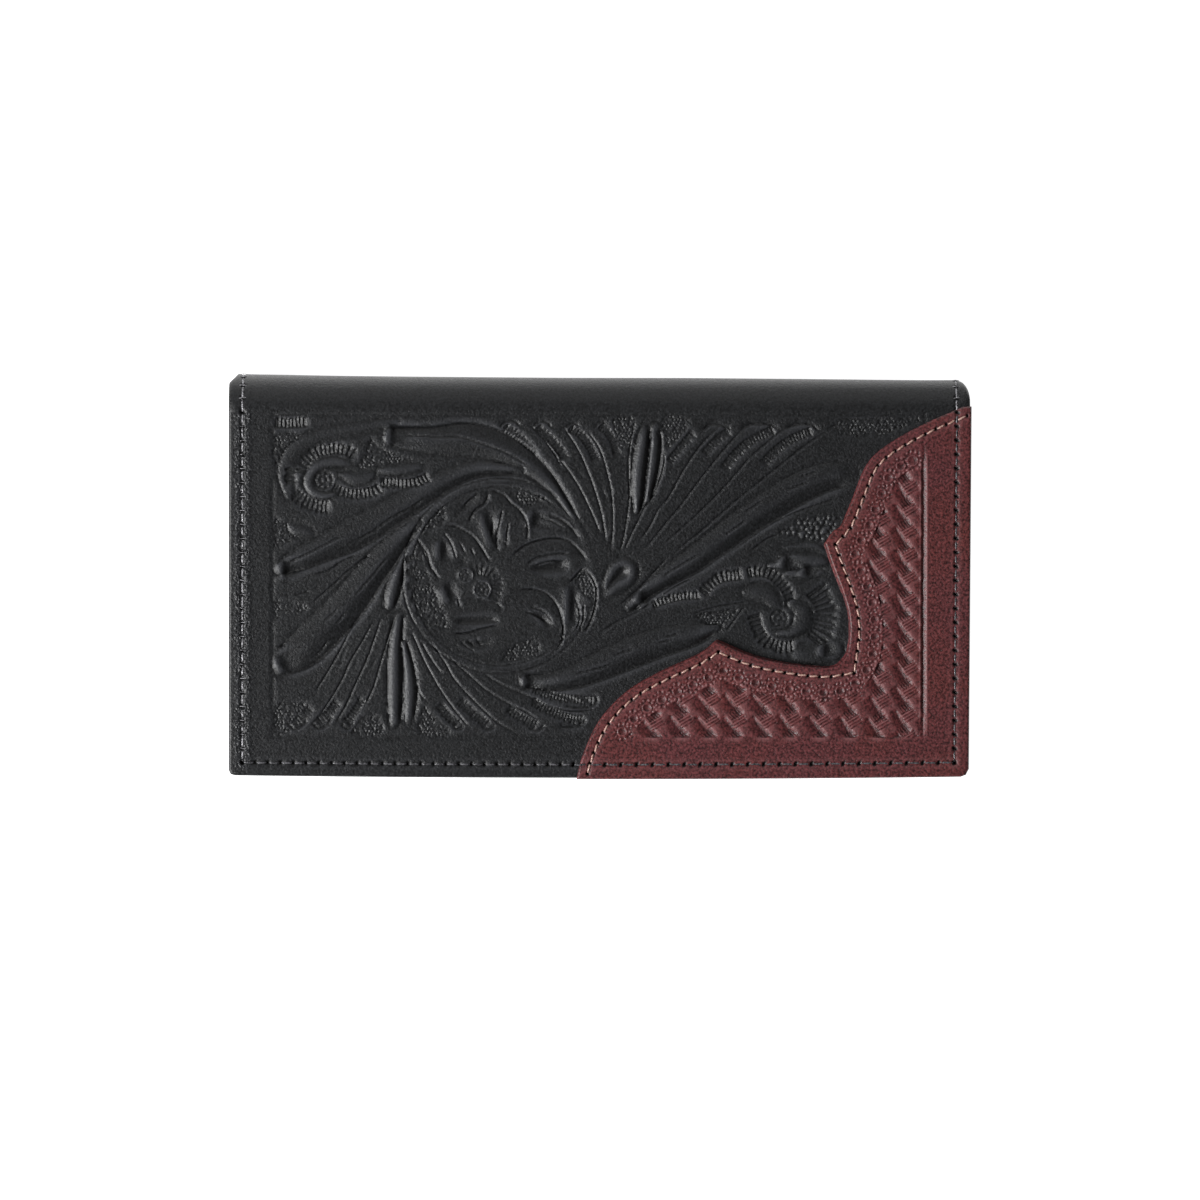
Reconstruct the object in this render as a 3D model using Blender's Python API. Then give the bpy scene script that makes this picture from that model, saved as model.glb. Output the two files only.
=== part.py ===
"""A long western wallet, closed and lying on its back cover.

X runs along the fold, Y from the open edge towards the fold and Z up through the wallet.
Each half is built in a frame of its own: Y is zero on its hinge line, Z is zero on its outer face
and Z grows towards the inside. Three narrow strips of the cover leather make the fold, so the
front half swings over them and comes to lie flat beside the back half.
"""

import math
from collections import namedtuple

import bmesh
import bpy
from mathutils import Vector

MM = 0.001

# Outer size
WALLET_LENGTH = 178.0 * MM
WALLET_DEPTH = 97.0 * MM
CORNER_RADIUS = 1.5 * MM
FOLD_END_RELIEF = 1.6 * MM

# Clearances
GAP = 0.3 * MM
LEAF_CLEARANCE = 0.4 * MM
MOVING_CLEARANCE = 0.2 * MM

# Leather, lining and plastic film
COVER_THICKNESS = 2.2 * MM
LINING_THICKNESS = 0.6 * MM
BACKING_THICKNESS = 0.8 * MM
POCKET_THICKNESS = 0.9 * MM
FILM_THICKNESS = 0.3 * MM
OVERLAY_THICKNESS = 1.4 * MM
LINING_MARGIN = 1.0 * MM
PANEL_MARGIN = 1.8 * MM
HINGE_MARGIN = 3.0 * MM

# Seams
SEAM_INSET = 3.2 * MM
SEAM_CORNER_RADIUS = 2.5 * MM
OVERLAY_SEAM_INSET = 2.3 * MM
THREAD_DIAMETER = 0.6 * MM
GROOVE_WIDTH = 1.2 * MM
GROOVE_DEPTH = 0.9 * MM
SEAM_END_MARGIN = 2.0 * MM

# Corner overlay, its scalloped edge as distances from the right end and from the open edge
OVERLAY_OVERHANG = 0.3 * MM
UPPER_SCALLOP = ((11.2, 84.9), (20.1, 79.8), (24.7, 75.3), (28.0, 67.3), (30.7, 60.9), (32.8, 59.2))
UPPER_TIP = (34.8, 56.3)
MIDDLE_SCALLOP = ((33.3, 52.0), (29.2, 40.5), (28.8, 32.5), (30.4, 28.2), (34.8, 26.5), (49.9, 28.7))
LOWER_TIP = (60.9, 33.0)
LOWER_SCALLOP = ((65.2, 29.7), (75.1, 25.1), (82.8, 20.5), (89.2, 13.6), (93.1, 5.2))
UPPER_START_RISE = 89.9 * MM
LOWER_END_REACH = 94.5 * MM
SCALLOP_STEPS = 4

# Carved field of the front: each ribbon's middle as distances from an end and from the open edge,
# with its half width; the flower's petals as their turn, start, length and width
FIELD_BORDER = 10.0 * MM
FIELD_HINGE_BORDER = 4.4 * MM
RELIEF_RISE = 0.45 * MM
RELIEF_ROOT = 0.3 * MM
RELIEF_CREST_SHARE = 0.45
RELIEF_CLEARANCE = 0.8 * MM
LEFT_RIBBONS = (
    ((14.9, 67.4, 1.2), (13.8, 73.3, 1.8), (16.1, 78.3, 2.0), (27.1, 83.2, 1.6), (40.1, 85.5, 0.9)),
    ((38.0, 81.6, 1.5), (49.2, 80.7, 2.9), (59.2, 80.6, 3.3), (69.2, 77.1, 2.8), (80.0, 67.9, 0.8)),
    ((12.2, 50.3, 1.4), (23.2, 55.4, 3.0), (35.2, 61.5, 3.3), (47.2, 68.5, 2.5), (60.2, 74.4, 1.7),
     (70.2, 74.1, 0.9)),
    ((12.8, 27.6, 2.8), (18.2, 31.1, 4.0), (29.2, 42.4, 3.8), (38.2, 54.0, 2.8), (43.4, 60.0, 1.2)),
    ((40.0, 13.4, 1.3), (40.0, 24.4, 1.6), (41.2, 39.4, 0.8)),
    ((43.6, 13.4, 0.9), (44.0, 22.4, 1.3), (43.0, 30.4, 0.7)),
)
RIGHT_RIBBONS = (
    ((29.4, 73.0, 2.6), (38.9, 70.6, 3.3), (48.9, 64.9, 3.4), (60.9, 56.5, 3.0), (72.9, 48.4, 2.2),
     (82.9, 40.4, 0.9)),
    ((75.2, 84.6, 1.0), (76.1, 75.4, 1.3), (77.4, 66.9, 0.8)),
    ((78.4, 84.3, 1.0), (79.4, 74.4, 1.4), (80.2, 64.0, 0.7)),
    ((61.4, 36.0, 0.9), (73.9, 32.8, 3.0), (87.9, 27.4, 3.2), (100.9, 23.1, 1.9), (107.9, 23.2, 1.0)),
)
FLOWER_FROM_LEFT = 65.2 * MM
FLOWER_UP = 48.5 * MM
FLOWER_RING_RADIUS = 22.4 * MM
FLOWER_RING_HALF_WIDTH = 0.95
PETALS = ((97, 2.0, 18.6, 10.8), (158, 4.0, 16.2, 9.0), (12, 3.0, 17.4, 10.8), (-56, 5.0, 15.4, 9.0),
          (212, 4.0, 13.6, 8.0))
RING_SIDES = 24
PETAL_SIDES = 10

# Card pockets and window pocket in the back half
POCKET_COUNT = 4
FIRST_MOUTH_MARGIN = 7.2 * MM
POCKET_STEP = 13.0 * MM
WINDOW_POCKET_LENGTH = 58.0 * MM
WINDOW_BORDER = 8.0 * MM
WINDOW_CORNER_RADIUS = 3.0 * MM

# Zip pocket and slip pocket in the front half
POCKET_BACK_THICKNESS = 0.4 * MM
GUSSET_THICKNESS = 1.8 * MM
GUSSET_WIDTH = 3.0 * MM
ZIP_PANEL_THICKNESS = 0.7 * MM
ZIP_WINDOW_MARGIN = 14.0 * MM
ZIP_WINDOW_CLEARANCE = 0.6 * MM
SLIP_PANEL_THICKNESS = 0.7 * MM
SLIP_PANEL_DEPTH = 62.0 * MM

# Zip
TAPE_WIDTH = 6.5 * MM
TAPE_THICKNESS = 0.4 * MM
TAPE_END_REACH = 3.0 * MM
TOOTH_PITCH = 2.5 * MM
TOOTH_LENGTH = 1.0 * MM
TOOTH_SHARE = 0.55
CHAIN_RAIL = 1.0 * MM
CHAIN_THICKNESS = 1.2 * MM
STOP_LENGTH = 2.0 * MM
SLIDER_LENGTH = 9.0 * MM
SLIDER_PLATE = 0.8 * MM
SLIDER_FLANGE_WIDTH = 0.9 * MM
SLIDER_STEP = 0.1 * MM
SLIDER_WEB = 0.6 * MM
LUG_WIDTH = 1.2 * MM
LUG_WALL = 0.4 * MM
PIN_DIAMETER = 0.6 * MM
PULL_LENGTH = 18.0 * MM
PULL_WIDTH = 6.0 * MM
PULL_THICKNESS = 0.8 * MM
PULL_ARM = 1.0 * MM
PULL_HEEL = 0.7 * MM
PULL_CHAMFER = 0.3 * MM
PULL_HOLE_DIAMETER = 3.0 * MM

ROUND_SIDES = 16
THREAD_SIDES = 8
CORNER_STEPS = 4
FOLD_HINGES = 4
FOLD_STRIPS = ("fold_lower", "fold_middle", "fold_upper")
HINGE_TURN = math.pi / FOLD_HINGES
PARALLEL = 1e-12
EDGE_ANGLE = math.radians(50)

# Heights of the back half's layers
BACK_LINING_BASE = COVER_THICKNESS + GAP
CARD_BACKING_BASE = BACK_LINING_BASE + LINING_THICKNESS + GAP
FIRST_POCKET_BASE = CARD_BACKING_BASE + BACKING_THICKNESS + GAP
WINDOW_FRAME_BASE = FIRST_POCKET_BASE + FILM_THICKNESS + GAP
BACK_STACK = FIRST_POCKET_BASE + POCKET_COUNT * POCKET_THICKNESS + (POCKET_COUNT - 1) * GAP

# Heights of the front half's layers
FRONT_LINING_BASE = COVER_THICKNESS + GAP
POCKET_BACK_BASE = FRONT_LINING_BASE + LINING_THICKNESS + GAP
GUSSET_BASE = POCKET_BACK_BASE + POCKET_BACK_THICKNESS + GAP
ZIP_PANEL_BASE = GUSSET_BASE + GUSSET_THICKNESS + GAP
SLIP_PANEL_BASE = ZIP_PANEL_BASE + ZIP_PANEL_THICKNESS + GAP
TAPE_BASE = ZIP_PANEL_BASE - GAP - TAPE_THICKNESS
CHAIN_MIDDLE = TAPE_BASE + TAPE_THICKNESS / 2
CHANNEL_HALF = CHAIN_THICKNESS / 2 + MOVING_CLEARANCE
SLIDER_HALF = CHANNEL_HALF + SLIDER_PLATE
SLIDER_TOP = CHAIN_MIDDLE + SLIDER_HALF
PIN_HEIGHT = SLIDER_TOP + PULL_HEEL + GAP
LUG_HOLE_RADIUS = PIN_DIAMETER / 2 + MOVING_CLEARANCE
LUG_RADIUS = LUG_HOLE_RADIUS + LUG_WALL
FRONT_STACK = PIN_HEIGHT + max(LUG_RADIUS, PULL_THICKNESS / 2)

# The closed wallet and its fold
CLOSED_HEIGHT = BACK_STACK + LEAF_CLEARANCE + FRONT_STACK
FOLD_CHORD = CLOSED_HEIGHT / (1 + 2 * math.sin(HINGE_TURN))
FOLD_BULGE = FOLD_CHORD * math.cos(HINGE_TURN)
HINGE_LINE_Y = WALLET_DEPTH / 2 - FOLD_BULGE
COVER_DEPTH = HINGE_LINE_Y + WALLET_DEPTH / 2
MITRE = COVER_THICKNESS * math.tan(HINGE_TURN / 2)
MITRE_SETBACK = GAP / 2 / math.cos(HINGE_TURN / 2)

# The zip across its line
CHAIN_INNER = SLIDER_WEB / 2 + GAP
CHAIN_OUTER = CHAIN_INNER + TOOTH_LENGTH + CHAIN_RAIL
TAPE_INNER = CHAIN_OUTER + GAP
ZIP_LINE = HINGE_MARGIN + GUSSET_WIDTH + GAP + TAPE_WIDTH + TAPE_INNER
FLANGE_INNER = CHAIN_OUTER + MOVING_CLEARANCE + GAP
SLIDER_WIDTH = 2 * (FLANGE_INNER + SLIDER_FLANGE_WIDTH)
ZIP_WINDOW_LENGTH = WALLET_LENGTH - 2 * ZIP_WINDOW_MARGIN
CHAIN_LENGTH = ZIP_WINDOW_LENGTH - 2 * (STOP_LENGTH + 2 * GAP)
SLIDER_REST_X = CHAIN_LENGTH / 2 - SLIDER_LENGTH / 2
SLIDER_TRAVEL = 2 * SLIDER_REST_X

# The origin stays under the middle of the wallet, overlay included.
CENTRE_SHIFT = OVERLAY_OVERHANG / 2

Half = namedtuple("Half", "frame side")


def empty_scene():
    """Remove every object, so that only the wallet is left."""
    for thing in list(bpy.data.objects):
        bpy.data.objects.remove(thing)


def finish(name, colour, roughness, metallic=0.0, alpha=1.0):
    """A plain surface of one colour, written as sRGB hex."""
    def linear(level):
        return level / 12.92 if level <= 0.04045 else ((level + 0.055) / 1.055) ** 2.4

    levels = [linear(int(colour[start:start + 2], 16) / 255) for start in (0, 2, 4)]
    material = bpy.data.materials.new(name)
    material.use_nodes = True
    shader = material.node_tree.nodes["Principled BSDF"]
    shader.inputs["Base Color"].default_value = (*levels, 1.0)
    shader.inputs["Roughness"].default_value = roughness
    shader.inputs["Metallic"].default_value = metallic
    shader.inputs["Alpha"].default_value = alpha
    return material


def pivot(name, parent, location, turn=0.0):
    """An empty on a joint's axis; the turn is about X."""
    frame = bpy.data.objects.new(name, None)
    frame.empty_display_size = 5 * MM
    bpy.context.scene.collection.objects.link(frame)
    frame.parent = parent
    frame.location = location
    frame.rotation_euler = (turn, 0.0, 0.0)
    return frame


def solid(name, mesh_maker, material, parent):
    """An object from a bmesh, its faces turned outwards."""
    mesh_maker.normal_update()
    bmesh.ops.recalc_face_normals(mesh_maker, faces=mesh_maker.faces)
    mesh = bpy.data.meshes.new(name)
    mesh_maker.to_mesh(mesh)
    mesh_maker.free()
    thing = bpy.data.objects.new(name, mesh)
    bpy.context.scene.collection.objects.link(thing)
    thing.parent = parent
    if material is None:
        thing.hide_render = True
        thing.display_type = "WIRE"
    else:
        mesh.materials.append(material)
    return thing


def loft(name, loops, material, parent, ring=False):
    """A closed body through loops of as many points each: a ring, or a bar with a cap on both ends."""
    maker = bmesh.new()
    rings = [[maker.verts.new(point) for point in loop] for loop in loops]
    count = len(rings[0])
    for lower, upper in zip(rings, rings[1:] + rings[:1] if ring else rings[1:]):
        for i in range(count):
            j = (i + 1) % count
            maker.faces.new((lower[i], lower[j], upper[j], upper[i]))
    if not ring:
        maker.faces.new(list(reversed(rings[0])))
        maker.faces.new(rings[-1])
    bmesh.ops.triangulate(maker, faces=[face for face in maker.faces if len(face.verts) > 4])
    return solid(name, maker, material, parent)


def prism(name, outline, base, top, material, parent):
    """An outline in X and Y, raised from base to top."""
    loops = [[(x, y, z) for x, y in outline] for z in (base, top)]
    return loft(name, loops, material, parent)


def block(name, xs, ys, zs, material, parent):
    """A rectangular block between two values of X, of Y and of Z."""
    outline = [(xs[0], ys[0]), (xs[1], ys[0]), (xs[1], ys[1]), (xs[0], ys[1])]
    return prism(name, outline, zs[0], zs[1], material, parent)


def rod(name, radius, start, end, material, parent):
    """A round rod along the frame's Y axis, from start to end."""
    turns = [2 * math.pi * (i + 0.5) / ROUND_SIDES for i in range(ROUND_SIDES)]
    ring = [(radius * math.cos(turn), radius * math.sin(turn)) for turn in turns]
    loops = [[(px, y, pz) for px, pz in ring] for y in (start, end)]
    thing = loft(name, loops, material, parent)
    thing.data.shade_smooth()
    thing.data.set_sharp_from_angle(angle=EDGE_ANGLE)
    return thing


def combine(thing, other, operation):
    """Cut the other shape from this one, or join it to this one."""
    modifier = thing.modifiers.new(other.name, "BOOLEAN")
    modifier.object = other
    modifier.operation = operation
    modifier.solver = "EXACT"


def rounded_rectangle(left, low, right, high, radius):
    """The outline of a rectangle with round corners, counterclockwise."""
    corners = ((right, low, -90), (right, high, 0), (left, high, 90), (left, low, 180))
    outline = []
    for x, y, first in corners:
        centre_x = x - math.copysign(radius, x - (left + right) / 2)
        centre_y = y - math.copysign(radius, y - (low + high) / 2)
        for step in range(CORNER_STEPS + 1):
            turn = math.radians(first + 90 * step / CORNER_STEPS)
            outline.append((centre_x + radius * math.cos(turn), centre_y + radius * math.sin(turn)))
    return outline


def panel(name, half, across, away, base, thickness, material, radius=CORNER_RADIUS):
    """A flat piece on a half: across is its reach in X, away its reach from the hinge line."""
    low, high = sorted(half.side * distance for distance in away)
    outline = rounded_rectangle(across[0], low, across[1], high, radius)
    return prism(name, outline, base, base + thickness, material, half.frame)


def smooth_curve(points, steps):
    """A smooth curve through the points, with so many steps from each to the next."""
    ends = [2 * points[0] - points[1], *points, 2 * points[-1] - points[-2]]
    curve = [points[0]]
    for before, start, end, after in zip(ends, ends[1:], ends[2:], ends[3:]):
        for step in range(1, steps + 1):
            t = step / steps
            curve.append(
                0.5 * (2 * start + (end - before) * t
                       + (2 * before - 5 * start + 4 * end - after) * t ** 2
                       + (3 * start - before - 3 * end + after) * t ** 3)
            )
    return curve


def side_directions(path):
    """At each point, the direction to the left, lengthened where the path turns."""
    ways = [(end - start).normalized() for start, end in zip(path, path[1:])]
    lefts = [Vector((-way.y, way.x)) for way in ways]
    inner = [(a + b) / (1 + a.dot(b)) for a, b in zip(lefts, lefts[1:])]
    return [lefts[0], *inner, lefts[-1]]


def moved_aside(path, distance):
    """The path moved to its left by the distance."""
    return [point + side * distance for point, side in zip(path, side_directions(path))]


def joined_at_crossing(first, second):
    """The first path up to where the second crosses it, and the second from there on."""
    def clear_of(points, corner):
        return [point for point in points if (point - corner).length > GROOVE_WIDTH]

    for i in range(len(first) - 1, 0, -1):
        for j in range(1, len(second)):
            a, b, c, d = first[i - 1], first[i], second[j - 1], second[j]
            run, other = b - a, d - c
            spread = run.cross(other)
            if abs(spread) < PARALLEL:
                continue
            along = (c - a).cross(other) / spread
            back = (c - a).cross(run) / spread
            if 0 <= along <= 1 and 0 <= back <= 1:
                corner = a + run * along
                return [*clear_of(first[:i], corner), corner, *clear_of(second[j:], corner)]
    return [*first, *second]


def well_spaced(path):
    """The path without the points that lie closer together than a groove is wide."""
    kept = [path[0]]
    for point in path[1:]:
        if (point - kept[-1]).length > GROOVE_WIDTH:
            kept.append(point)
    return kept


def sweep(name, path, section, material, parent):
    """A bar along a flat path; the section gives each corner's shift to the left and its height."""
    sides = side_directions(path)
    loops = [
        [(*(point + side * shift), height) for shift, height in section]
        for point, side in zip(path, sides)
    ]
    return loft(name, loops, material, parent)


def thread_section(middle):
    """The round section of a seam's thread."""
    turns = [2 * math.pi * (i + 0.5) / THREAD_SIDES for i in range(THREAD_SIDES)]
    radius = THREAD_DIAMETER / 2
    return [(radius * math.cos(turn), middle + radius * math.sin(turn)) for turn in turns]


def sewn_seam(name, leather, path, outer_face, material):
    """Lay a thread in a groove of the outer face, which faces down in the half's frame."""
    floor = outer_face + GROOVE_DEPTH
    outside = outer_face - GROOVE_DEPTH
    half_width = GROOVE_WIDTH / 2
    groove = [
        (-half_width, outside), (half_width, outside), (half_width, floor), (-half_width, floor)
    ]
    cutter = sweep(name + "_groove", path, groove, None, leather.parent)
    combine(leather, cutter, "DIFFERENCE")
    middle = outer_face + GROOVE_DEPTH - GAP / 2 - THREAD_DIAMETER / 2
    thread = sweep(name, path, thread_section(middle), material, leather.parent)
    thread.data.shade_smooth()
    thread.data.set_sharp_from_angle(angle=EDGE_ANGLE)


def cover(name, half, material):
    """A cover's leather, mitred along the hinge line and rounded at the open corners."""
    outline = rounded_rectangle(
        -WALLET_LENGTH / 2, 0.0, WALLET_LENGTH / 2, COVER_DEPTH, CORNER_RADIUS
    )
    open_end = [point for point in outline if point[1] > COVER_DEPTH / 2]
    loops = []
    for height, start in ((0.0, MITRE_SETBACK), (COVER_THICKNESS, MITRE_SETBACK + MITRE)):
        square_end = [(-WALLET_LENGTH / 2, start), (WALLET_LENGTH / 2, start)]
        loops.append([(x, half.side * y, height) for x, y in square_end + open_end])
    return loft(name, loops, material, half.frame)


def fold_strip(name, frame, first_length, last_length, material):
    """One strip of the fold, mitred to both its neighbours."""
    loops = []
    for height, lean in ((0.0, 0.0), (COVER_THICKNESS, MITRE)):
        start = MITRE_SETBACK + lean
        end = FOLD_CHORD - MITRE_SETBACK - lean
        loops.append([
            (-first_length / 2, start, height),
            (first_length / 2, start, height),
            (last_length / 2, end, height),
            (-last_length / 2, end, height),
        ])
    return loft(name, loops, material, frame)


def seam_line(half, first_x, last_x, start_away=SEAM_END_MARGIN):
    """The seam's path: down one end, round the open corner and along the open edge."""
    side_x = math.copysign(WALLET_LENGTH / 2 - SEAM_INSET, first_x)
    far = COVER_DEPTH - SEAM_INSET
    turn_way = -math.copysign(1.0, first_x)
    path = [Vector((side_x, start_away))]
    path += corner_arc(side_x, far, turn_way)
    if abs(last_x) == WALLET_LENGTH / 2 - SEAM_INSET:
        path += reversed(corner_arc(last_x, far, -turn_way))
        path.append(Vector((last_x, start_away)))
    else:
        path.append(Vector((last_x, far)))
    return [Vector((point.x, half.side * point.y)) for point in path]


def corner_arc(side_x, far, inward):
    """The seam's round corner, from the short side to the open edge."""
    centre = Vector((side_x + inward * SEAM_CORNER_RADIUS, far - SEAM_CORNER_RADIUS))
    arc = []
    for step in range(CORNER_STEPS + 1):
        turn = math.radians(90 * step / CORNER_STEPS)
        arc.append(centre + SEAM_CORNER_RADIUS * Vector((-inward * math.cos(turn), math.sin(turn))))
    return arc


def on_face(from_right, from_open_edge):
    """A point of the front face in the front half's frame."""
    return Vector((WALLET_LENGTH / 2 - from_right, COVER_DEPTH - from_open_edge))


def scallops():
    """The overlay's inner edge as three smooth curves that meet in its two tips."""
    def in_metres(points):
        return [on_face(across * MM, up * MM) for across, up in points]

    start = on_face(-OVERLAY_OVERHANG, UPPER_START_RISE)
    end = on_face(LOWER_END_REACH, -OVERLAY_OVERHANG)
    upper_tip, lower_tip = in_metres((UPPER_TIP, LOWER_TIP))
    runs = (
        [start, *in_metres(UPPER_SCALLOP), upper_tip],
        [upper_tip, *in_metres(MIDDLE_SCALLOP), lower_tip],
        [lower_tip, *in_metres(LOWER_SCALLOP), end],
    )
    return [smooth_curve(run, SCALLOP_STEPS) for run in runs]


def overlay(half, material, edge_thread, seam_thread):
    """The brown corner piece on the front face, with its two seams."""
    curves = scallops()
    edge = curves[0] + curves[1][1:] + curves[2][1:]
    right = WALLET_LENGTH / 2 + OVERLAY_OVERHANG
    far = COVER_DEPTH + OVERLAY_OVERHANG
    corner = [Vector((right - CORNER_RADIUS, far)), Vector((right, far - CORNER_RADIUS))]
    outline = [tuple(point) for point in edge + corner]
    face = -GAP - OVERLAY_THICKNESS
    leather = prism("corner_overlay", outline, face, -GAP, material, half.frame)

    # In this frame Y runs down the face, so the leather lies to the right of the edge.
    insides = [moved_aside(curve, -OVERLAY_SEAM_INSET) for curve in curves]
    line = joined_at_crossing(joined_at_crossing(insides[0], insides[1]), insides[2])
    keep_off = SEAM_INSET + THREAD_DIAMETER + GAP
    line = well_spaced([
        point for point in line
        if point.x < WALLET_LENGTH / 2 - keep_off and point.y < COVER_DEPTH - keep_off
    ])
    sewn_seam("overlay_edge_thread", leather, line, face, edge_thread)

    side_x = WALLET_LENGTH / 2 - SEAM_INSET
    last_x = WALLET_LENGTH / 2 - LOWER_END_REACH + 2 * OVERLAY_SEAM_INSET
    start_away = COVER_DEPTH - UPPER_START_RISE + 2 * OVERLAY_SEAM_INSET
    path = seam_line(half, side_x, last_x, start_away)
    sewn_seam("overlay_seam_thread", leather, path, face, seam_thread)


def crest_height(half_width):
    """How high a ridge of the carving stands over the face; a narrow one stays lower."""
    return min(RELIEF_RISE, half_width * RELIEF_CREST_SHARE)


def ridge_section(point, side, half_width):
    """A ridge's four corners at one point of its path: its root in the leather and its crest."""
    crest = half_width * RELIEF_CREST_SHARE
    corners = ((-half_width, RELIEF_ROOT), (half_width, RELIEF_ROOT),
               (crest, -crest_height(half_width)), (-crest, -crest_height(half_width)))
    return [(*(point + side * shift), height) for shift, height in corners]


def ribbon(name, stations, from_left, half):
    """One ribbon of the carving, as a ridge through its stations."""
    path = []
    for across, up, _ in stations:
        from_right = WALLET_LENGTH - across * MM if from_left else across * MM
        path.append(on_face(from_right, up * MM))
    loops = [
        ridge_section(point, side, station[2] * MM)
        for point, side, station in zip(path, side_directions(path), stations)
    ]
    return loft(name, loops, None, half.frame)


def petal(name, middle, shape, half):
    """One petal of the flower, an oval with a flat crest."""
    turn, start, length, width = shape
    way = Vector((math.cos(math.radians(turn)), -math.sin(math.radians(turn))))
    side = Vector((-way.y, way.x))
    centre = middle + way * (start + length / 2) * MM
    loops = []
    for height, share in ((RELIEF_ROOT, 1.0), (-RELIEF_RISE, 1.0 - RELIEF_CREST_SHARE)):
        loop = []
        for step in range(PETAL_SIDES):
            angle = 2 * math.pi * step / PETAL_SIDES
            reach = way * math.cos(angle) * length + side * math.sin(angle) * width
            loop.append((*(centre + reach * MM / 2 * share), height))
        loops.append(loop)
    return loft(name, loops, None, half.frame)


def flower_ring(middle, half):
    """The round rim that the flower lies in."""
    loops = []
    for step in range(RING_SIDES):
        angle = 2 * math.pi * step / RING_SIDES
        way = Vector((math.cos(angle), math.sin(angle)))
        loops.append(ridge_section(middle + way * FLOWER_RING_RADIUS, way, FLOWER_RING_HALF_WIDTH * MM))
    return loft("carved_ring", loops, None, half.frame, ring=True)


def carved_room(half):
    """The room for the carving: inside its border, and clear of the corner overlay."""
    reach = WALLET_LENGTH / 2 - FIELD_BORDER
    outline = [(-reach, FIELD_HINGE_BORDER), (reach, FIELD_HINGE_BORDER),
               (reach, COVER_DEPTH - FIELD_BORDER), (-reach, COVER_DEPTH - FIELD_BORDER)]
    tall = RELIEF_RISE + RELIEF_ROOT
    room = prism("carved_room", outline, -tall, tall, None, half.frame)
    edge = [point for curve in scallops() for point in moved_aside(curve, RELIEF_CLEARANCE)]
    edge.append(Vector((WALLET_LENGTH, COVER_DEPTH + WALLET_DEPTH)))
    outline = [tuple(point) for point in edge]
    covered = prism("overlay_room", outline, -2 * tall, 2 * tall, None, half.frame)
    combine(room, covered, "DIFFERENCE")
    return room


def carving(leather, half):
    """Raise the main forms of the floral carving from the front face."""
    middle = on_face(WALLET_LENGTH - FLOWER_FROM_LEFT, FLOWER_UP)
    forms = [flower_ring(middle, half)]
    forms += [petal(f"carved_petal_{n + 1}", middle, shape, half) for n, shape in enumerate(PETALS)]
    for word, from_left, group in (("left", True, LEFT_RIBBONS), ("right", False, RIGHT_RIBBONS)):
        for number, stations in enumerate(group):
            forms.append(ribbon(f"carved_ribbon_{word}_{number + 1}", stations, from_left, half))
    relief = forms[0]
    for form in forms[1:]:
        combine(relief, form, "UNION")
    combine(relief, carved_room(half), "INTERSECT")
    combine(leather, relief, "UNION")


def back_half(half, finishes):
    """The back cover with its lining, card pockets and window pocket."""
    leather = cover("back_cover_leather", half, finishes["leather"])
    side_x = WALLET_LENGTH / 2 - SEAM_INSET
    path = seam_line(half, -side_x, side_x)
    sewn_seam("back_seam_thread", leather, path, 0.0, finishes["black_thread"])

    lining_reach = WALLET_LENGTH / 2 - LINING_MARGIN
    lining_away = (HINGE_MARGIN, COVER_DEPTH - LINING_MARGIN)
    panel("back_lining", half, (-lining_reach, lining_reach), lining_away,
          BACK_LINING_BASE, LINING_THICKNESS, finishes["lining"])
    reach = WALLET_LENGTH / 2 - PANEL_MARGIN
    away = (HINGE_MARGIN, COVER_DEPTH - PANEL_MARGIN)
    panel("card_backing_panel", half, (-reach, reach), away,
          CARD_BACKING_BASE, BACKING_THICKNESS, finishes["panel"])
    window_start = reach - WINDOW_POCKET_LENGTH
    for number in range(POCKET_COUNT):
        mouth = window_start - FIRST_MOUTH_MARGIN - number * POCKET_STEP
        base = FIRST_POCKET_BASE + number * (POCKET_THICKNESS + GAP)
        panel(f"card_pocket_{number + 1}", half, (-reach, mouth), away,
              base, POCKET_THICKNESS, finishes["panel"])

    panel("id_window_film", half, (window_start, reach), away,
          FIRST_POCKET_BASE, FILM_THICKNESS, finishes["film"])
    frame = panel("id_window_frame", half, (window_start, reach), away,
                  WINDOW_FRAME_BASE, POCKET_THICKNESS, finishes["panel"])
    opening = panel("id_window_opening", half,
                    (window_start + WINDOW_BORDER, reach - WINDOW_BORDER),
                    (away[0] + WINDOW_BORDER, away[1] - WINDOW_BORDER),
                    WINDOW_FRAME_BASE - POCKET_THICKNESS, 3 * POCKET_THICKNESS, None,
                    WINDOW_CORNER_RADIUS)
    combine(frame, opening, "DIFFERENCE")


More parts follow.
